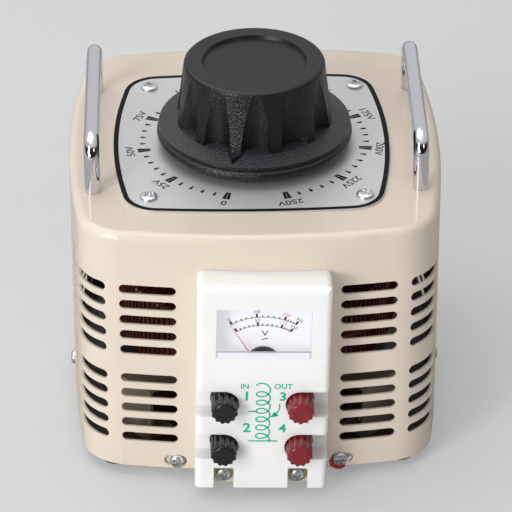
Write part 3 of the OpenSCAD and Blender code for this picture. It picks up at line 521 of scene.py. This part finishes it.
def clear(name):
    material, w = begin(name)
    outside = 1 - w.node("ShaderNodeNewGeometry", out="Backfacing")
    mirror = outside * w.node("ShaderNodeFresnel", sockets={"IOR": 1.46})
    haze = w.noise(6, 3)
    slope = math.sin(PANEL_LEAN)
    strip = w.axis("Y") < WINDOW_Y + STRIP_T
    # line: a band of painted shade along the upper step of the frosted strip
    line = strip * (w.axis("Z") + slope * w.axis("X") > WINDOW_Z + STRIP_H - STRIP_STEP_SHADE)
    across = w.axis("X") - PANEL_SPOT.x * MM - slope * (w.axis("Z") - PANEL_SPOT.z * MM)
    edge = outside * (w.math("ABSOLUTE", across) > LENS_HALF - EDGE_W)
    plastic = haze.mix(srgb(240, 241, 246), srgb(247, 248, 252))
    gloss = BARE_ALPHA + MIRROR_ALPHA * mirror
    w.surface({
        # Grey for the painted shade at the strip's step, and for the fine lines up the sides
        "Base Color": (line + 0.5 * edge).mix(plastic, srgb(178, 180, 186)),
        "Roughness": 0.06 + 0.05 * haze,
        "Alpha": gloss + STRIP_ALPHA * strip + EDGE_ALPHA * edge * (1 - strip),
    })
    return material


def card_with_painted_glow(name, colour, glow):
    material, w = begin(name)
    speck = w.noise(0.6, 2)
    w.surface({
        "Base Color": w.noise(18, 3).mix(shade(colour, 0.99), colour),
        "Roughness": 0.44 + 0.12 * speck,
        "Normal": w.bump(speck, 0.004),
        # A painted glow: emission that lifts the shade the window's frame casts on the recessed card
        "Emission Color": srgb(250, 250, 255),
        "Emission Strength": glow,
    })
    return material


dress(clear("clear_plastic"), "meter_window")
# The card's colour is kept low, and the painted glow makes up the rest of its brightness
dress(card_with_painted_glow("meter_card_painted_glow", srgb(188, 188, 194), glow=0.46), "meter_face")
bare = [name for name, node in nodes.items() if not node.data.materials]
print("nodes without a finish:", bare)

# %% [markdown]
# ## Making pieces
# A piece is a mesh that rides on a CAD body. Meshes are built with bmesh, which works like clay: add points
# and faces, then turn the result into a mesh. Printed marks are prisms a few hundredths of a millimetre
# thick, so they are real geometry that lies on its plate from every side.

# %% Helpers for pieces
SHARP_EDGE = math.radians(38)
INK_T = 0.03 * MM


def piece(name, clay, material, body, smooth=False):
    """Turns a bmesh into an object that rides on a body."""
    mesh = bpy.data.meshes.new(name)
    bmesh.ops.recalc_face_normals(clay, faces=clay.faces)
    clay.to_mesh(mesh)
    clay.free()
    mesh.materials.append(material)
    if smooth:
        mesh.shade_smooth()
        mesh.set_sharp_from_angle(angle=SHARP_EDGE)
    obj = bpy.data.objects.new(name, mesh)
    scene.collection.objects.link(obj)
    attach(obj, body)
    return obj


def bridge(clay, ring, other):
    """Joins two closed rings of points with faces."""
    for k in range(len(ring)):
        n = (k + 1) % len(ring)
        clay.faces.new((ring[k], ring[n], other[n], other[k]))


def flat_strip(clay, left, right, place, closed=False, thick=INK_T):
    """A thin flat strip between two rows of points, given in mm in its own plane."""
    rows = []
    for points in (left, right):
        for height in (0.0, thick):
            rows.append([clay.verts.new(place @ Vector((x * MM, y * MM, height))) for x, y in points])
    low_l, high_l, low_r, high_r = rows
    count = len(left)
    for i in range(count if closed else count - 1):
        j = (i + 1) % count
        clay.faces.new((high_l[i], high_r[i], high_r[j], high_l[j]))
        clay.faces.new((low_l[j], low_r[j], low_r[i], low_l[i]))
        clay.faces.new((low_l[i], high_l[i], high_l[j], low_l[j]))
        clay.faces.new((low_r[j], high_r[j], high_r[i], low_r[i]))
    if not closed:
        clay.faces.new((low_l[0], low_r[0], high_r[0], high_l[0]))
        clay.faces.new((high_l[-1], high_r[-1], low_r[-1], low_l[-1]))


def arc(radius, start, end, steps, middle=(0, 0)):
    """Points on a circle; angles in degrees from +X."""
    turns = [math.radians(start + (end - start) * i / steps) for i in range(steps + 1)]
    return [(middle[0] + radius * math.cos(t), middle[1] + radius * math.sin(t)) for t in turns]


print("helpers for pieces")

# %% Ink and letters
CAP_SHARE, LETTER_STEPS = 0.72, 5


def ink_line(clay, path, width, place):
    """A line of ink along a path; width is one number, or one for each point."""
    last = len(path) - 1
    left, right = [], []
    for i, (x, y) in enumerate(path):
        before, after = path[max(i - 1, 0)], path[min(i + 1, last)]
        along = (Vector(after) - Vector(before)).normalized()
        half = (width[i] if isinstance(width, (list, tuple)) else width) / 2
        left.append((x - along.y * half, y + along.x * half))
        right.append((x + along.y * half, y - along.x * half))
    flat_strip(clay, left, right, place)


def lettering(clay, words, height, place, widen=1.0, bold=0.0):
    """Words in the built-in font, height mm tall, as thin solid letters."""
    curve = bpy.data.curves.new("letters", "FONT")
    curve.body = words
    curve.size = height * MM / CAP_SHARE
    curve.align_x = "CENTER"
    curve.align_y = "CENTER"
    curve.extrude = INK_T / 2
    curve.offset = bold * MM
    curve.resolution_u = LETTER_STEPS
    holder = bpy.data.objects.new("letters", curve)
    scene.collection.objects.link(holder)
    drawn = bpy.data.meshes.new_from_object(holder.evaluated_get(bpy.context.evaluated_depsgraph_get()))
    drawn.transform(place @ Matrix.Diagonal((widen, 1, 1, 1)) @ Matrix.Translation((0, 0, INK_T / 2)))
    clay.from_mesh(drawn)
    bpy.data.objects.remove(holder)
    bpy.data.curves.remove(curve)
    bpy.data.meshes.remove(drawn)


def ink(name, colour):
    """Screen-printed ink: slightly patchy and nearly matt."""
    return moulded(name, colour, drift=0.12, grain=0.4, depth=0.004, rough=0.6, shine=0.15)


black_ink = ink("black_ink", srgb(10, 10, 11))
print("black ink, lines and letters")

# %% [markdown]
# ## The dial print
# The dial is printed in black: a border line, tall wedges every 25 volts with a bare line down their
# middle, small drops every 5 volts, and figures whose tops point outward. The knob sweeps 330 degrees, so
# 25 volts are 33 degrees. The border follows the plate, whose edges are bowed and whose corners are round,
# so its outline is made of arcs.

# %% Shapes of the dial print
TICK_IN, TICK_OUT = 51.9, 58.1
WEDGE_IN, WEDGE_OUT, WEDGE_BARE, WEDGE_END = 1.2, 1.9, 0.12, 0.5
# Each point of a drop: its radius and the drop's width there, in mm
DROP = ((53.4, 0.5), (54.9, 1.3), (55.9, 1.6), (56.5, 0.9))


def bowed_outline(half, side_bow, front_bow, corner_r, steps=10):
    """The outline of a square plate with bowed edges and round corners."""
    side, front = side_bow - half, front_bow - half
    span = math.hypot(side, front)
    along = ((side_bow - corner_r) ** 2 - (front_bow - corner_r) ** 2 + span ** 2) / (2 * span)
    across = math.sqrt((side_bow - corner_r) ** 2 - along ** 2)
    corner = ((along * side + across * front) / span - side, (across * side - along * front) / span)
    side_a = math.degrees(math.atan2(corner[1], corner[0] + side))
    front_a = math.degrees(math.atan2(corner[1] + front, corner[0]))
    quarter = arc(side_bow, 0, side_a, steps, (-side, 0))[:-1]
    quarter += arc(corner_r, side_a, front_a, steps, corner)[:-1]
    quarter += arc(front_bow, front_a, 90, steps, (0, -front))
    points = []
    for sx, sy in ((1, 1), (-1, 1), (-1, -1), (1, -1)):
        run = [(sx * x, sy * y) for x, y in quarter]
        points += run[:-1] if sx == sy else run[:0:-1]
    return points


def wedge(clay, place):
    """A tall mark: two halves beside a bare line, which is closed at both ends."""
    for side in (-1, 1):
        ends = [(TICK_IN, side * WEDGE_IN), (TICK_OUT, side * WEDGE_OUT)]
        flat_strip(clay, ends, [(radius, side * WEDGE_BARE) for radius, _ in ends], place)
    for start in (TICK_IN, TICK_OUT - WEDGE_END):
        radii = (start, start + WEDGE_END)
        flat_strip(clay, [(r, WEDGE_BARE) for r in radii], [(r, -WEDGE_BARE) for r in radii], place)


def drop(clay, place):
    """A small mark, widest near its outer end."""
    ink_line(clay, [(radius, 0) for radius, _ in DROP], [width for _, width in DROP], place)


print("wedges from", TICK_IN, "to", TICK_OUT, "mm and drops from", DROP[0][0], "mm")

# %% Dial print
SHAFT = Vector((0, -4.0 * MM, 0))
DIAL = Matrix.Translation(SHAFT + Vector((0, 0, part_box("dial_plate")[1].z)))
ZERO_A, SWEEP, FULL_V, WEDGE_V, DROP_V = -105.0, 330.0, 250, 25, 5
FIGURE_R, FIGURE_H = 61.7, 4.0
PLATE_HALF, SIDE_BOW, END_BOW, PLATE_CORNER = 68.0, 265.0, 600.0, 17.0
PLATE_SHIFT = Matrix.Translation((-1.5 * MM, 0, 0))
BORDER_W, BORDER_IN = 2.4, 0.1


def on_dial(volts):
    """A place on the dial whose X points outward at a voltage."""
    return DIAL @ Matrix.Rotation(math.radians(ZERO_A - SWEEP * volts / FULL_V), 4, "Z")


dial_clay = bmesh.new()
edges = [bowed_outline(PLATE_HALF - d, SIDE_BOW - d, END_BOW - d, PLATE_CORNER - d)
         for d in (BORDER_IN, BORDER_IN + BORDER_W)]
flat_strip(dial_clay, edges[0], edges[1], PLATE_SHIFT @ DIAL, closed=True)
outward = Matrix.Translation((FIGURE_R * MM, 0, 0)) @ Matrix.Rotation(math.radians(-90), 4, "Z")
for volts in range(0, FULL_V + 1, DROP_V):
    if volts % WEDGE_V:
        drop(dial_clay, on_dial(volts))
    else:
        wedge(dial_clay, on_dial(volts))
        words = f"{volts}V" if volts else "0"
        lettering(dial_clay, words, FIGURE_H, on_dial(volts) @ outward, widen=1.08, bold=0.05)
dial_print = piece("dial_print", dial_clay, black_ink, "housing")
print("dial print:", len(dial_print.data.polygons), "faces")

# %% [markdown]
# ## Cross-head screws
# The heads of the dial, case and panel screws show their cross recess, so plain CAD discs aren't enough. A
# head is a square grid of points pressed onto a disc: the grid's lines run along the cross, so its arms
# stay crisp without a boolean cut. A low dome, a skirt and a shank close the solid. Screws stop at any
# angle, so each cross is turned by chance.

# %% One screw
HALF_GRID = [0.12, 0.2, 0.4, 0.57, 0.64, 0.8, 0.94, 1]
GRID = [-share for share in reversed(HALF_GRID)] + HALF_GRID
ARM_W, ARM_L, ARM_DEPTH = 0.13, 0.58, 0.55
RIM_H, DOME_H = 0.45, 0.55
SHANK_D, SHANK_L = 3.4, 4.0


def head_point(u, v, head_d, head_h):
    """A point of the grid on a domed head with a cross in it."""
    x, y = u * math.sqrt(1 - v * v / 2), v * math.sqrt(1 - u * u / 2)
    far = x * x + y * y
    z = head_h * (RIM_H + DOME_H * math.sqrt(max(0.0, 1 - far ** 1.5)))
    if min(abs(u), abs(v)) < ARM_W and max(abs(u), abs(v)) < ARM_L:
        z -= ARM_DEPTH * head_h
    return Vector((x * head_d / 2, y * head_d / 2, z)) * MM


def screw(clay, place, head_d, head_h):
    """One pan-head screw, its head on z = 0 of its place and its shank below; sizes in mm."""
    points = [[clay.verts.new(place @ head_point(u, v, head_d, head_h)) for v in GRID] for u in GRID]
    last = len(GRID) - 1
    for i in range(last):
        for j in range(last):
            clay.faces.new((points[i][j], points[i + 1][j], points[i + 1][j + 1], points[i][j + 1]))
    rim = [points[i][0] for i in range(last)] + [points[last][j] for j in range(last)]
    rim += [points[i][last] for i in range(last, 0, -1)] + [points[0][j] for j in range(last, 0, -1)]
    flats = [place.inverted() @ vert.co for vert in rim]
    neck = SHANK_D / head_d
    rings = [rim]
    for share, z in ((1.0, 0.0), (neck, 0.0), (neck, -SHANK_L)):
        spots = [Vector((flat.x * share, flat.y * share, z * MM)) for flat in flats]
        rings.append([clay.verts.new(place @ spot) for spot in spots])
    for upper, lower in zip(rings, rings[1:]):
        bridge(clay, lower, upper)
    clay.faces.new(rings[-1])


print("a head is pressed from", len(GRID) ** 2, "points")

# %% All screws
FRONT_BOW, FRONT_Y, SIDE_X = 385.0, 95.0, 91.5
CASE_SCREW_X, CASE_SCREW_Z = 40.0, 10.6
PLATE_SCREW_X, PLATE_SCREW_Y, PLATE_TOP = 52.0, 54.0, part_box("dial_plate")[1].z / MM
PANEL_SCREW_X, PANEL_SCREW_IN, PANEL_SCREW_Z = 18.0, 5.5, 5.2
WIDE_HEAD, SMALL_HEAD = (8.6, 1.9), (7.0, 2.5)
WASHER_T = 0.5 * MM
FRONT = Matrix.Rotation(math.radians(90), 4, "X")
PANEL = Matrix.Translation(PANEL_SPOT * MM) @ Matrix.Rotation(PANEL_LEAN, 4, "Y")
random.seed(7)


def facing(spot, outward, spin):
    """A place whose +Z looks outward; spin turns the cross."""
    turn = Vector(outward).to_track_quat("Z", "Y").to_matrix().to_4x4()
    return Matrix.Translation(Vector(spot) * MM) @ turn @ Matrix.Rotation(math.radians(spin), 4, "Z")


def by_chance(spot, outward):
    return facing(spot, outward, random.uniform(0, 90))


def screws(name, places, head, node):
    clay = bmesh.new()
    for place in places:
        screw(clay, place, *head)
    obj = piece(name, clay, zinc, "housing", smooth=True)
    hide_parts(node)
    return obj


corners = [(sx, sy) for sx in (-1, 1) for sy in (-1, 1)]
dial_places = [by_chance((sx * PLATE_SCREW_X, sy * PLATE_SCREW_Y + SHAFT.y / MM, PLATE_TOP), (0, 0, 1))
               for sx, sy in corners]
bow_y = FRONT_Y - FRONT_BOW + math.sqrt(FRONT_BOW ** 2 - CASE_SCREW_X ** 2)
bow_a = math.asin(CASE_SCREW_X / FRONT_BOW)
case_places = [by_chance((sx * CASE_SCREW_X, sy * bow_y, CASE_SCREW_Z),
                         (sx * math.sin(bow_a), sy * math.cos(bow_a), 0)) for sx, sy in corners]
case_places += [by_chance((sx * SIDE_X, 0, CASE_SCREW_Z), (sx, 0, 0)) for sx in (-1, 1)]
panel_spots = [Vector((sx * PANEL_SCREW_X, PANEL_SCREW_IN, PANEL_SCREW_Z)) * MM for sx in (-1, 1)]
panel_seats = [PANEL @ Matrix.Translation(spot) @ FRONT for spot in panel_spots]
panel_places = [seat @ Matrix.Translation((0, 0, WASHER_T)) for seat in panel_seats]
for name, places, head, node in (("dial_screw_heads", dial_places, WIDE_HEAD, "dial_plate_screws"),
                                 ("case_screw_heads", case_places, SMALL_HEAD, "housing_screws"),
                                 ("panel_screw_heads", panel_places, SMALL_HEAD, "panel_screws")):
    print(name, len(screws(name, places, head, node).data.polygons), "faces")

# %% [markdown]
# ### Washers and a seal
# Yellow zinc washers lie under the panel's screws. The right-hand case screw once had a paper seal over it:
# what is left is a torn scrap, red with white edges, that hangs below the head. Both are thin sheets with a
# hole for the shank; the scrap's ragged edge comes from a few waves of different length.

# %% Washers
WASHER_R, WASHER_STEPS = 4.65, 48
BORE_R = SHANK_D / 2 + 0.1
washer_clay = bmesh.new()
for seat in panel_seats:
    rim, bore = [arc(radius, 0, 360, WASHER_STEPS)[:-1] for radius in (WASHER_R, BORE_R)]
    flat_strip(washer_clay, rim, bore, seat, closed=True, thick=WASHER_T)
washers = piece("panel_washers", washer_clay, yellow_zinc, "housing")
print("washers:", len(washers.data.polygons), "faces")

# %% Seal
SEAL_T, SEAL_HOLE, SEAL_STEPS = 0.12 * MM, 3.4, 40
# The height of each wave as a share, how many there are in a turn, and where they start
TEARS = ((0.6, 3, 1), (0.3, 7, 0), (0.2, 13, 2))


def torn(start, end, low, wave):
    """A ragged run of points round a screw: low mm from its middle, with waves of tears."""
    points = []
    for k in range(SEAL_STEPS + 1):
        a = math.radians(start + (end - start) * k / SEAL_STEPS)
        far = low + wave * sum(share * math.sin(count * a + begins) for share, count, begins in TEARS)
        points.append((far * math.cos(a), far * math.sin(a)))
    return points


def hole(start, end):
    return arc(SEAL_HOLE, start, end, SEAL_STEPS)


paper_seat = facing((CASE_SCREW_X, -bow_y, CASE_SCREW_Z), (math.sin(bow_a), -math.cos(bow_a), 0), 0)
print_seat = paper_seat @ Matrix.Translation((0, 0, SEAL_T))
paper_clay, print_clay = bmesh.new(), bmesh.new()
flat_strip(paper_clay, torn(170, 240, 7.0, 0.3), torn(170, 240, 6.0, 0.3), paper_seat, thick=SEAL_T)
flat_strip(paper_clay, torn(300, 366, 5.2, 0.8), hole(300, 366), paper_seat, thick=SEAL_T)
flat_strip(print_clay, torn(188, 300, 6.1, 0.5), hole(188, 300), print_seat, thick=SEAL_T)
seal_paper = moulded("seal_paper", srgb(238, 226, 222), 0.05, 0.5, 0.02, 0.6)
seal_red = moulded("seal_red", srgb(168, 22, 44), 0.3, 0.7, 0.02, 0.5)
piece("seal_scrap_white", paper_clay, seal_paper, "housing")
piece("seal_scrap_red", print_clay, seal_red, "housing")
print("a scrap of seal in two layers")

# %% [markdown]
# ## The winding
# Round enamelled wire is wound through the ring core, turn beside turn. It shows through the slots as dark
# red upright lines. Each turn is a round tube along a rectangle with round corners, copied round the shaft.

# %% Winding
WIRE_R, WIRE_SIDES, TURNS, FIRST_A, STEP_A = 0.8, 6, 120, -103.5, -2.798
IN_R, OUT_R, LOW_Z, HIGH_Z, BEND_R, BEND_STEPS = 36.15, 69.85, 40.3, 77.9, 3.0, 4


def turn_path():
    """The middle line of one turn, in the plane of radius and height."""
    middles = [(OUT_R - BEND_R, HIGH_Z - BEND_R, 0), (IN_R + BEND_R, HIGH_Z - BEND_R, 90),
               (IN_R + BEND_R, LOW_Z + BEND_R, 180), (OUT_R - BEND_R, LOW_Z + BEND_R, 270)]
    return [p for r, z, a in middles for p in arc(BEND_R, a, a + 90, BEND_STEPS, (r, z))]


def tube(clay, path, radius, sides, place, closed=True):
    """A round tube along a path in the X-Z plane, either closed or with flat ends; all in mm."""
    rings = []
    last = len(path) - 1
    for i, (r, z) in enumerate(path):
        before = path[i - 1] if closed or i else path[0]
        after = path[(i + 1) % len(path)] if closed or i < last else path[last]
        along = (Vector(after) - Vector(before)).normalized()
        ring = []
        for k in range(sides):
            turn = 2 * math.pi * k / sides
            off = radius * math.cos(turn)
            spot = Vector((r + along.y * off, radius * math.sin(turn), z - along.x * off))
            ring.append(clay.verts.new(place @ (spot * MM)))
        rings.append(ring)
    for i in range(0 if closed else 1, len(rings)):
        bridge(clay, rings[i], rings[i - 1])
    if not closed:
        clay.faces.new(rings[0][::-1])
        clay.faces.new(rings[-1])


wire_clay = bmesh.new()
for count in range(TURNS):
    spin = Matrix.Rotation(math.radians(FIRST_A + STEP_A * count), 4, "Z")
    tube(wire_clay, turn_path(), WIRE_R, WIRE_SIDES, Matrix.Translation(SHAFT) @ spin)
winding = piece("wound_wire", wire_clay, wire_enamel, "housing", smooth=True)
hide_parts("winding")
print("winding:", TURNS, "turns,", len(winding.data.polygons), "faces")

# %% [markdown]
# ## Carrying handles
# Each handle is one rod of chromed steel, bent twice. The reflections of the lamps at the bends show every
# facet of a coarse mesh, so the tube has many sides and its bends many steps. It stands on the case's top,
# where the thread of the CAD handle begins.

# %% Handles
ROD_R, ROD_SIDES, ROD_Z, ROD_BEND, ROD_STEPS = 3.8, 48, 164.6, 8.0, 16
FOOT_Y, HANDLE_X, THREAD_L = 49.5, 79.0, 9.0
CASE_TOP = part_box("handle_left")[0].z / MM + THREAD_L


def rod_path():
    """The middle line of a handle, from foot to foot, in the plane of depth and height."""
    reach, low = FOOT_Y - ROD_BEND, ROD_Z - ROD_BEND
    front = arc(ROD_BEND, 180, 90, ROD_STEPS, (-reach, low))
    back = arc(ROD_BEND, 90, 0, ROD_STEPS, (reach, low))
    return [(-FOOT_Y, CASE_TOP)] + front + back + [(FOOT_Y, CASE_TOP)]


for side, place_x in (("left", -HANDLE_X), ("right", HANDLE_X)):
    rod_clay = bmesh.new()
    upright = Matrix.Translation((place_x * MM, 0, 0)) @ Matrix.Rotation(math.radians(90), 4, "Z")
    tube(rod_clay, rod_path(), ROD_R, ROD_SIDES, upright, closed=False)
    rod = piece(f"bent_rod_{side}", rod_clay, chrome, "housing", smooth=True)
    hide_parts(f"handle_{side}")
    print(rod.name, len(rod.data.polygons), "faces")

# %% [markdown]
# ## The panel print
# Green ink on the white panel shows what the terminals do: a winding with a sliding tap, the way in at the
# left and the way out at the right. The winding is a line that runs down while it circles, which draws the
# loops by itself.

# %% Winding sign
PANEL_FRONT = PANEL @ FRONT
LOOP_W, LOOP_H, LOOP_STEP, LOOPS, LOOP_POINTS = 3.35, 2.55, 4.86, 7, 16
COIL_X, COIL_Z, COIL_SLANT, COIL_TAIL = 2.0, 65.9, 0.02, 0.3
LINE_W, FOOT_Z = 0.75, 33.8


def on_panel(x, z):
    """A point of the row frame as a point of the panel's front plane, both in mm."""
    flat = PANEL_FRONT.inverted() @ Vector((x * MM, PANEL_SPOT.y * MM, z * MM))
    return flat.x / MM, flat.y / MM


def coil_path():
    """Whole loops and a last half one, then straight down to the foot line."""
    path = []
    for i in range(LOOP_POINTS * LOOPS - LOOP_POINTS // 2 + 1):
        t = math.pi + 2 * math.pi * i / LOOP_POINTS
        drift = -LOOP_STEP * (t - math.pi) / (2 * math.pi)
        x = COIL_X + LOOP_W * math.cos(t) + COIL_SLANT * drift
        path.append(on_panel(x, COIL_Z + drift - LOOP_H * math.sin(t)))
    return path + [on_panel(COIL_X + LOOP_W - COIL_TAIL, FOOT_Z)]


panel_clay = bmesh.new()
coil = coil_path()
ink_line(panel_clay, coil, LINE_W, PANEL_FRONT)
print("winding sign:", LOOPS, "loops through", len(coil), "points")

# %% Panel print
green_ink = ink("green_ink", srgb(22, 188, 150))
LEADS = (((-5.4, FOOT_Z + 0.1), (8.6, FOOT_Z - 0.2)), ((-5.4, 51.1), (-1.2, 51.1)))
TAP = ((9.6, 55.3), (9.75, 53.6), (9.3, 51.6), (8.4, 50.0), (7.4, 49.0))
ARROW, ARROW_W = ((8.2, 49.6), (7.9, 49.35), (5.0, 47.4)), [3.0, 3.0, 0.1]
# Each word, its place across and up, and its height in mm
LABELS = (("IN", -7.0, 65.5, 2.7), ("OUT", 11.4, 65.2, 2.7), ("1", -6.1, 59.8, 5.2),
          ("2", -6.2, 41.4, 5.2), ("3", 11.3, 59.2, 4.8), ("4", 11.0, 40.8, 4.8))
LABEL_WIDEN, LABEL_BOLD = 1.1, 0.035
for path in LEADS + (TAP,):
    ink_line(panel_clay, [on_panel(x, z) for x, z in path], LINE_W, PANEL_FRONT)
ink_line(panel_clay, [on_panel(x, z) for x, z in ARROW], ARROW_W, PANEL_FRONT)
for words, x, z, tall in LABELS:
    flat = on_panel(x, z)
    place = PANEL_FRONT @ Matrix.Translation((flat[0] * MM, flat[1] * MM, 0))
    lettering(panel_clay, words, tall, place, LABEL_WIDEN, LABEL_BOLD * tall)
panel_print = piece("panel_print", panel_clay, green_ink, "housing")
print("panel print:", len(panel_print.data.polygons), "faces")

# %% [markdown]
# ## The meter card
# The card behind the window has two curved scales for the needle, which is read against the upper one here.
# The arcs are centred on the needle's pivot. Bold marks stand at the figures, and the figures for full
# output are red.

# %% Meter print
CARD_DEPTH, PIVOT_Z = 8.5, 64.0
CARD = PANEL @ Matrix.Translation(Vector((0, CARD_DEPTH, PIVOT_Z)) * MM) @ FRONT
SCALES = ((29.5, ("0", "100", "250", "300")), (24.8, ("", "50", "125", "150")))
SCALE_MARKS, FINE_PARTS, RED_MARK = (-31.0, -6.5, 19.5, 31.0), (5, 5, 4), 2
ARC_W, ARC_STEPS = 0.28, 40
BOLD_L, BOLD_W, FINE_L, FINE_W = 2.0, 1.0, 1.0, [0.5, 0.7]
FIGURE_UP, CARD_FIGURE_H = 3.0, 1.8
SIGN_X, SIGN_Y, SIGN_H = 0.6, 20.2, 3.3
WAVE_Y, WAVE_HALF, WAVE_H, WAVE_W, WAVE_STEPS = 17.2, 1.5, 0.35, 0.45, 8
red_ink, grey_ink = ink("red_ink", srgb(206, 120, 136)), ink("grey_ink", srgb(70, 70, 76))
card_clay, grey_clay, red_clay = bmesh.new(), bmesh.new(), bmesh.new()


def mark(clay, radius, slant, length, width):
    place = CARD @ Matrix.Rotation(math.radians(90 - slant), 4, "Z")
    ink_line(clay, [(radius, 0), (radius + length, 0)], width, place)


def figure(clay, words, radius, slant, height):
    place = CARD @ Matrix.Rotation(math.radians(-slant), 4, "Z") @ Matrix.Translation((0, radius * MM, 0))
    lettering(clay, words, height, place)


for radius, words in SCALES:
    ink_line(grey_clay, arc(radius, 90 - SCALE_MARKS[-1], 90 - SCALE_MARKS[0], ARC_STEPS), ARC_W, CARD)
    for number, slant in enumerate(SCALE_MARKS):
        mark(card_clay, radius, slant, BOLD_L, BOLD_W)
        clay = red_clay if number == RED_MARK else grey_clay
        figure(clay, words[number], radius + FIGURE_UP, slant, CARD_FIGURE_H)
    for start, end, parts in zip(SCALE_MARKS, SCALE_MARKS[1:], FINE_PARTS):
        for part in range(1, parts):
            mark(grey_clay, radius, start + (end - start) * part / parts, FINE_L, FINE_W)
lettering(card_clay, "V", SIGN_H, CARD @ Matrix.Translation((SIGN_X * MM, SIGN_Y * MM, 0)), widen=1.1)
shares = [k / WAVE_STEPS for k in range(-WAVE_STEPS, WAVE_STEPS + 1)]
wave = [(SIGN_X + WAVE_HALF * share, WAVE_Y + WAVE_H * math.sin(math.pi * share)) for share in shares]
ink_line(card_clay, wave, WAVE_W, CARD)
for name, clay, colour in (("meter_print", card_clay, black_ink), ("meter_grey_figures", grey_clay, grey_ink),
                           ("meter_red_figures", red_clay, red_ink)):
    print(name, len(piece(name, clay, colour, "housing").data.polygons), "faces")

# %% [markdown]
# ## Terminal caps
# The caps are moulded knobs with round ribs and grooves for the fingers, a collar at the rear and a smaller
# front disc with a rounded edge. The CAD cap has the right size, but its edges are sharp. Here the cap is
# one skin whose radius depends on the angle and the length, so ribs, grooves and front blend into each
# other.

# %% Terminal caps
CAP_D, CAP_REAR, CAP_SPIN = 13.0, 7.1, 0.35
RIBS, RIB_STEPS, GROOVE, GROOVE_FORM = 12, 14, 0.15, 1.3
TERMINALS = [(-18.3, 49.0), (-18.3, 24.2), (18.3, 49.0), (18.3, 24.2)]
# Each ring: its length from the rear in mm, its share of the radius, and the share of the grooves' depth
COLLAR = [(0.0, 0.62, 0.0), (0.0, 1.01, 0.0), (0.25, 1.04, 0.0), (1.5, 1.04, 0.0), (1.75, 1.02, 0.3)]
RIBBED = [(1.9, 1.0, 1.0), (14.1, 0.99, 1.0), (14.5, 0.98, 1.0), (14.75, 0.955, 0.95), (14.85, 0.92, 0.8)]
SHOULDER = [(14.9, 0.85, 0.2), (14.92, 0.81, 0.0), (15.0, 0.80, 0.0), (15.15, 0.785, 0.0), (15.3, 0.755, 0.0)]
DISC = [(15.42, 0.71, 0.0), (15.48, 0.66, 0.0), (15.5, 0.60, 0.0), (15.48, 0.3, 0.0)]
CAP_SKIN = COLLAR + RIBBED + SHOULDER + DISC


def cap_ring(length, share, grooved):
    """One ring of the cap's skin, in metres."""
    count = RIBS * RIB_STEPS
    ring = []
    for k in range(count):
        turn = 2 * math.pi * k / count
        from_groove = abs(2 * k / RIB_STEPS % 2 - 1)
        radius = CAP_D / 2 * (share - GROOVE * grooved * (1 - from_groove) ** GROOVE_FORM)
        ring.append(Vector((radius * math.cos(turn), radius * math.sin(turn), length)) * MM)
    return ring


def terminal_cap(name, place, material, body, node):
    clay = bmesh.new()
    rings = [[clay.verts.new(place @ spot) for spot in cap_ring(*row)] for row in CAP_SKIN]
    for lower, upper in zip(rings, rings[1:]):
        bridge(clay, lower, upper)
    clay.faces.new(rings[0][::-1])
    clay.faces.new(rings[-1])
    obj = piece(name, clay, material, body, smooth=True)
    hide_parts(node)
    return obj


for number, (x, z) in enumerate(TERMINALS, 1):
    seat = PANEL @ Matrix.Translation(Vector((x, CAP_REAR, z)) * MM) @ FRONT
    spot = seat @ Matrix.Rotation(CAP_SPIN * number, 4, "Z")
    plastic, slot = (black_plastic, "black_cap_plastic") if x < 0 else (red_plastic, "red_cap_plastic")
    body, node = f"cap_{number}", f"terminal_cap_{number}"
    made = terminal_cap(f"ribbed_cap_{number}", spot, plastic, body, node)
    print(made.name, len(made.data.polygons), "faces")
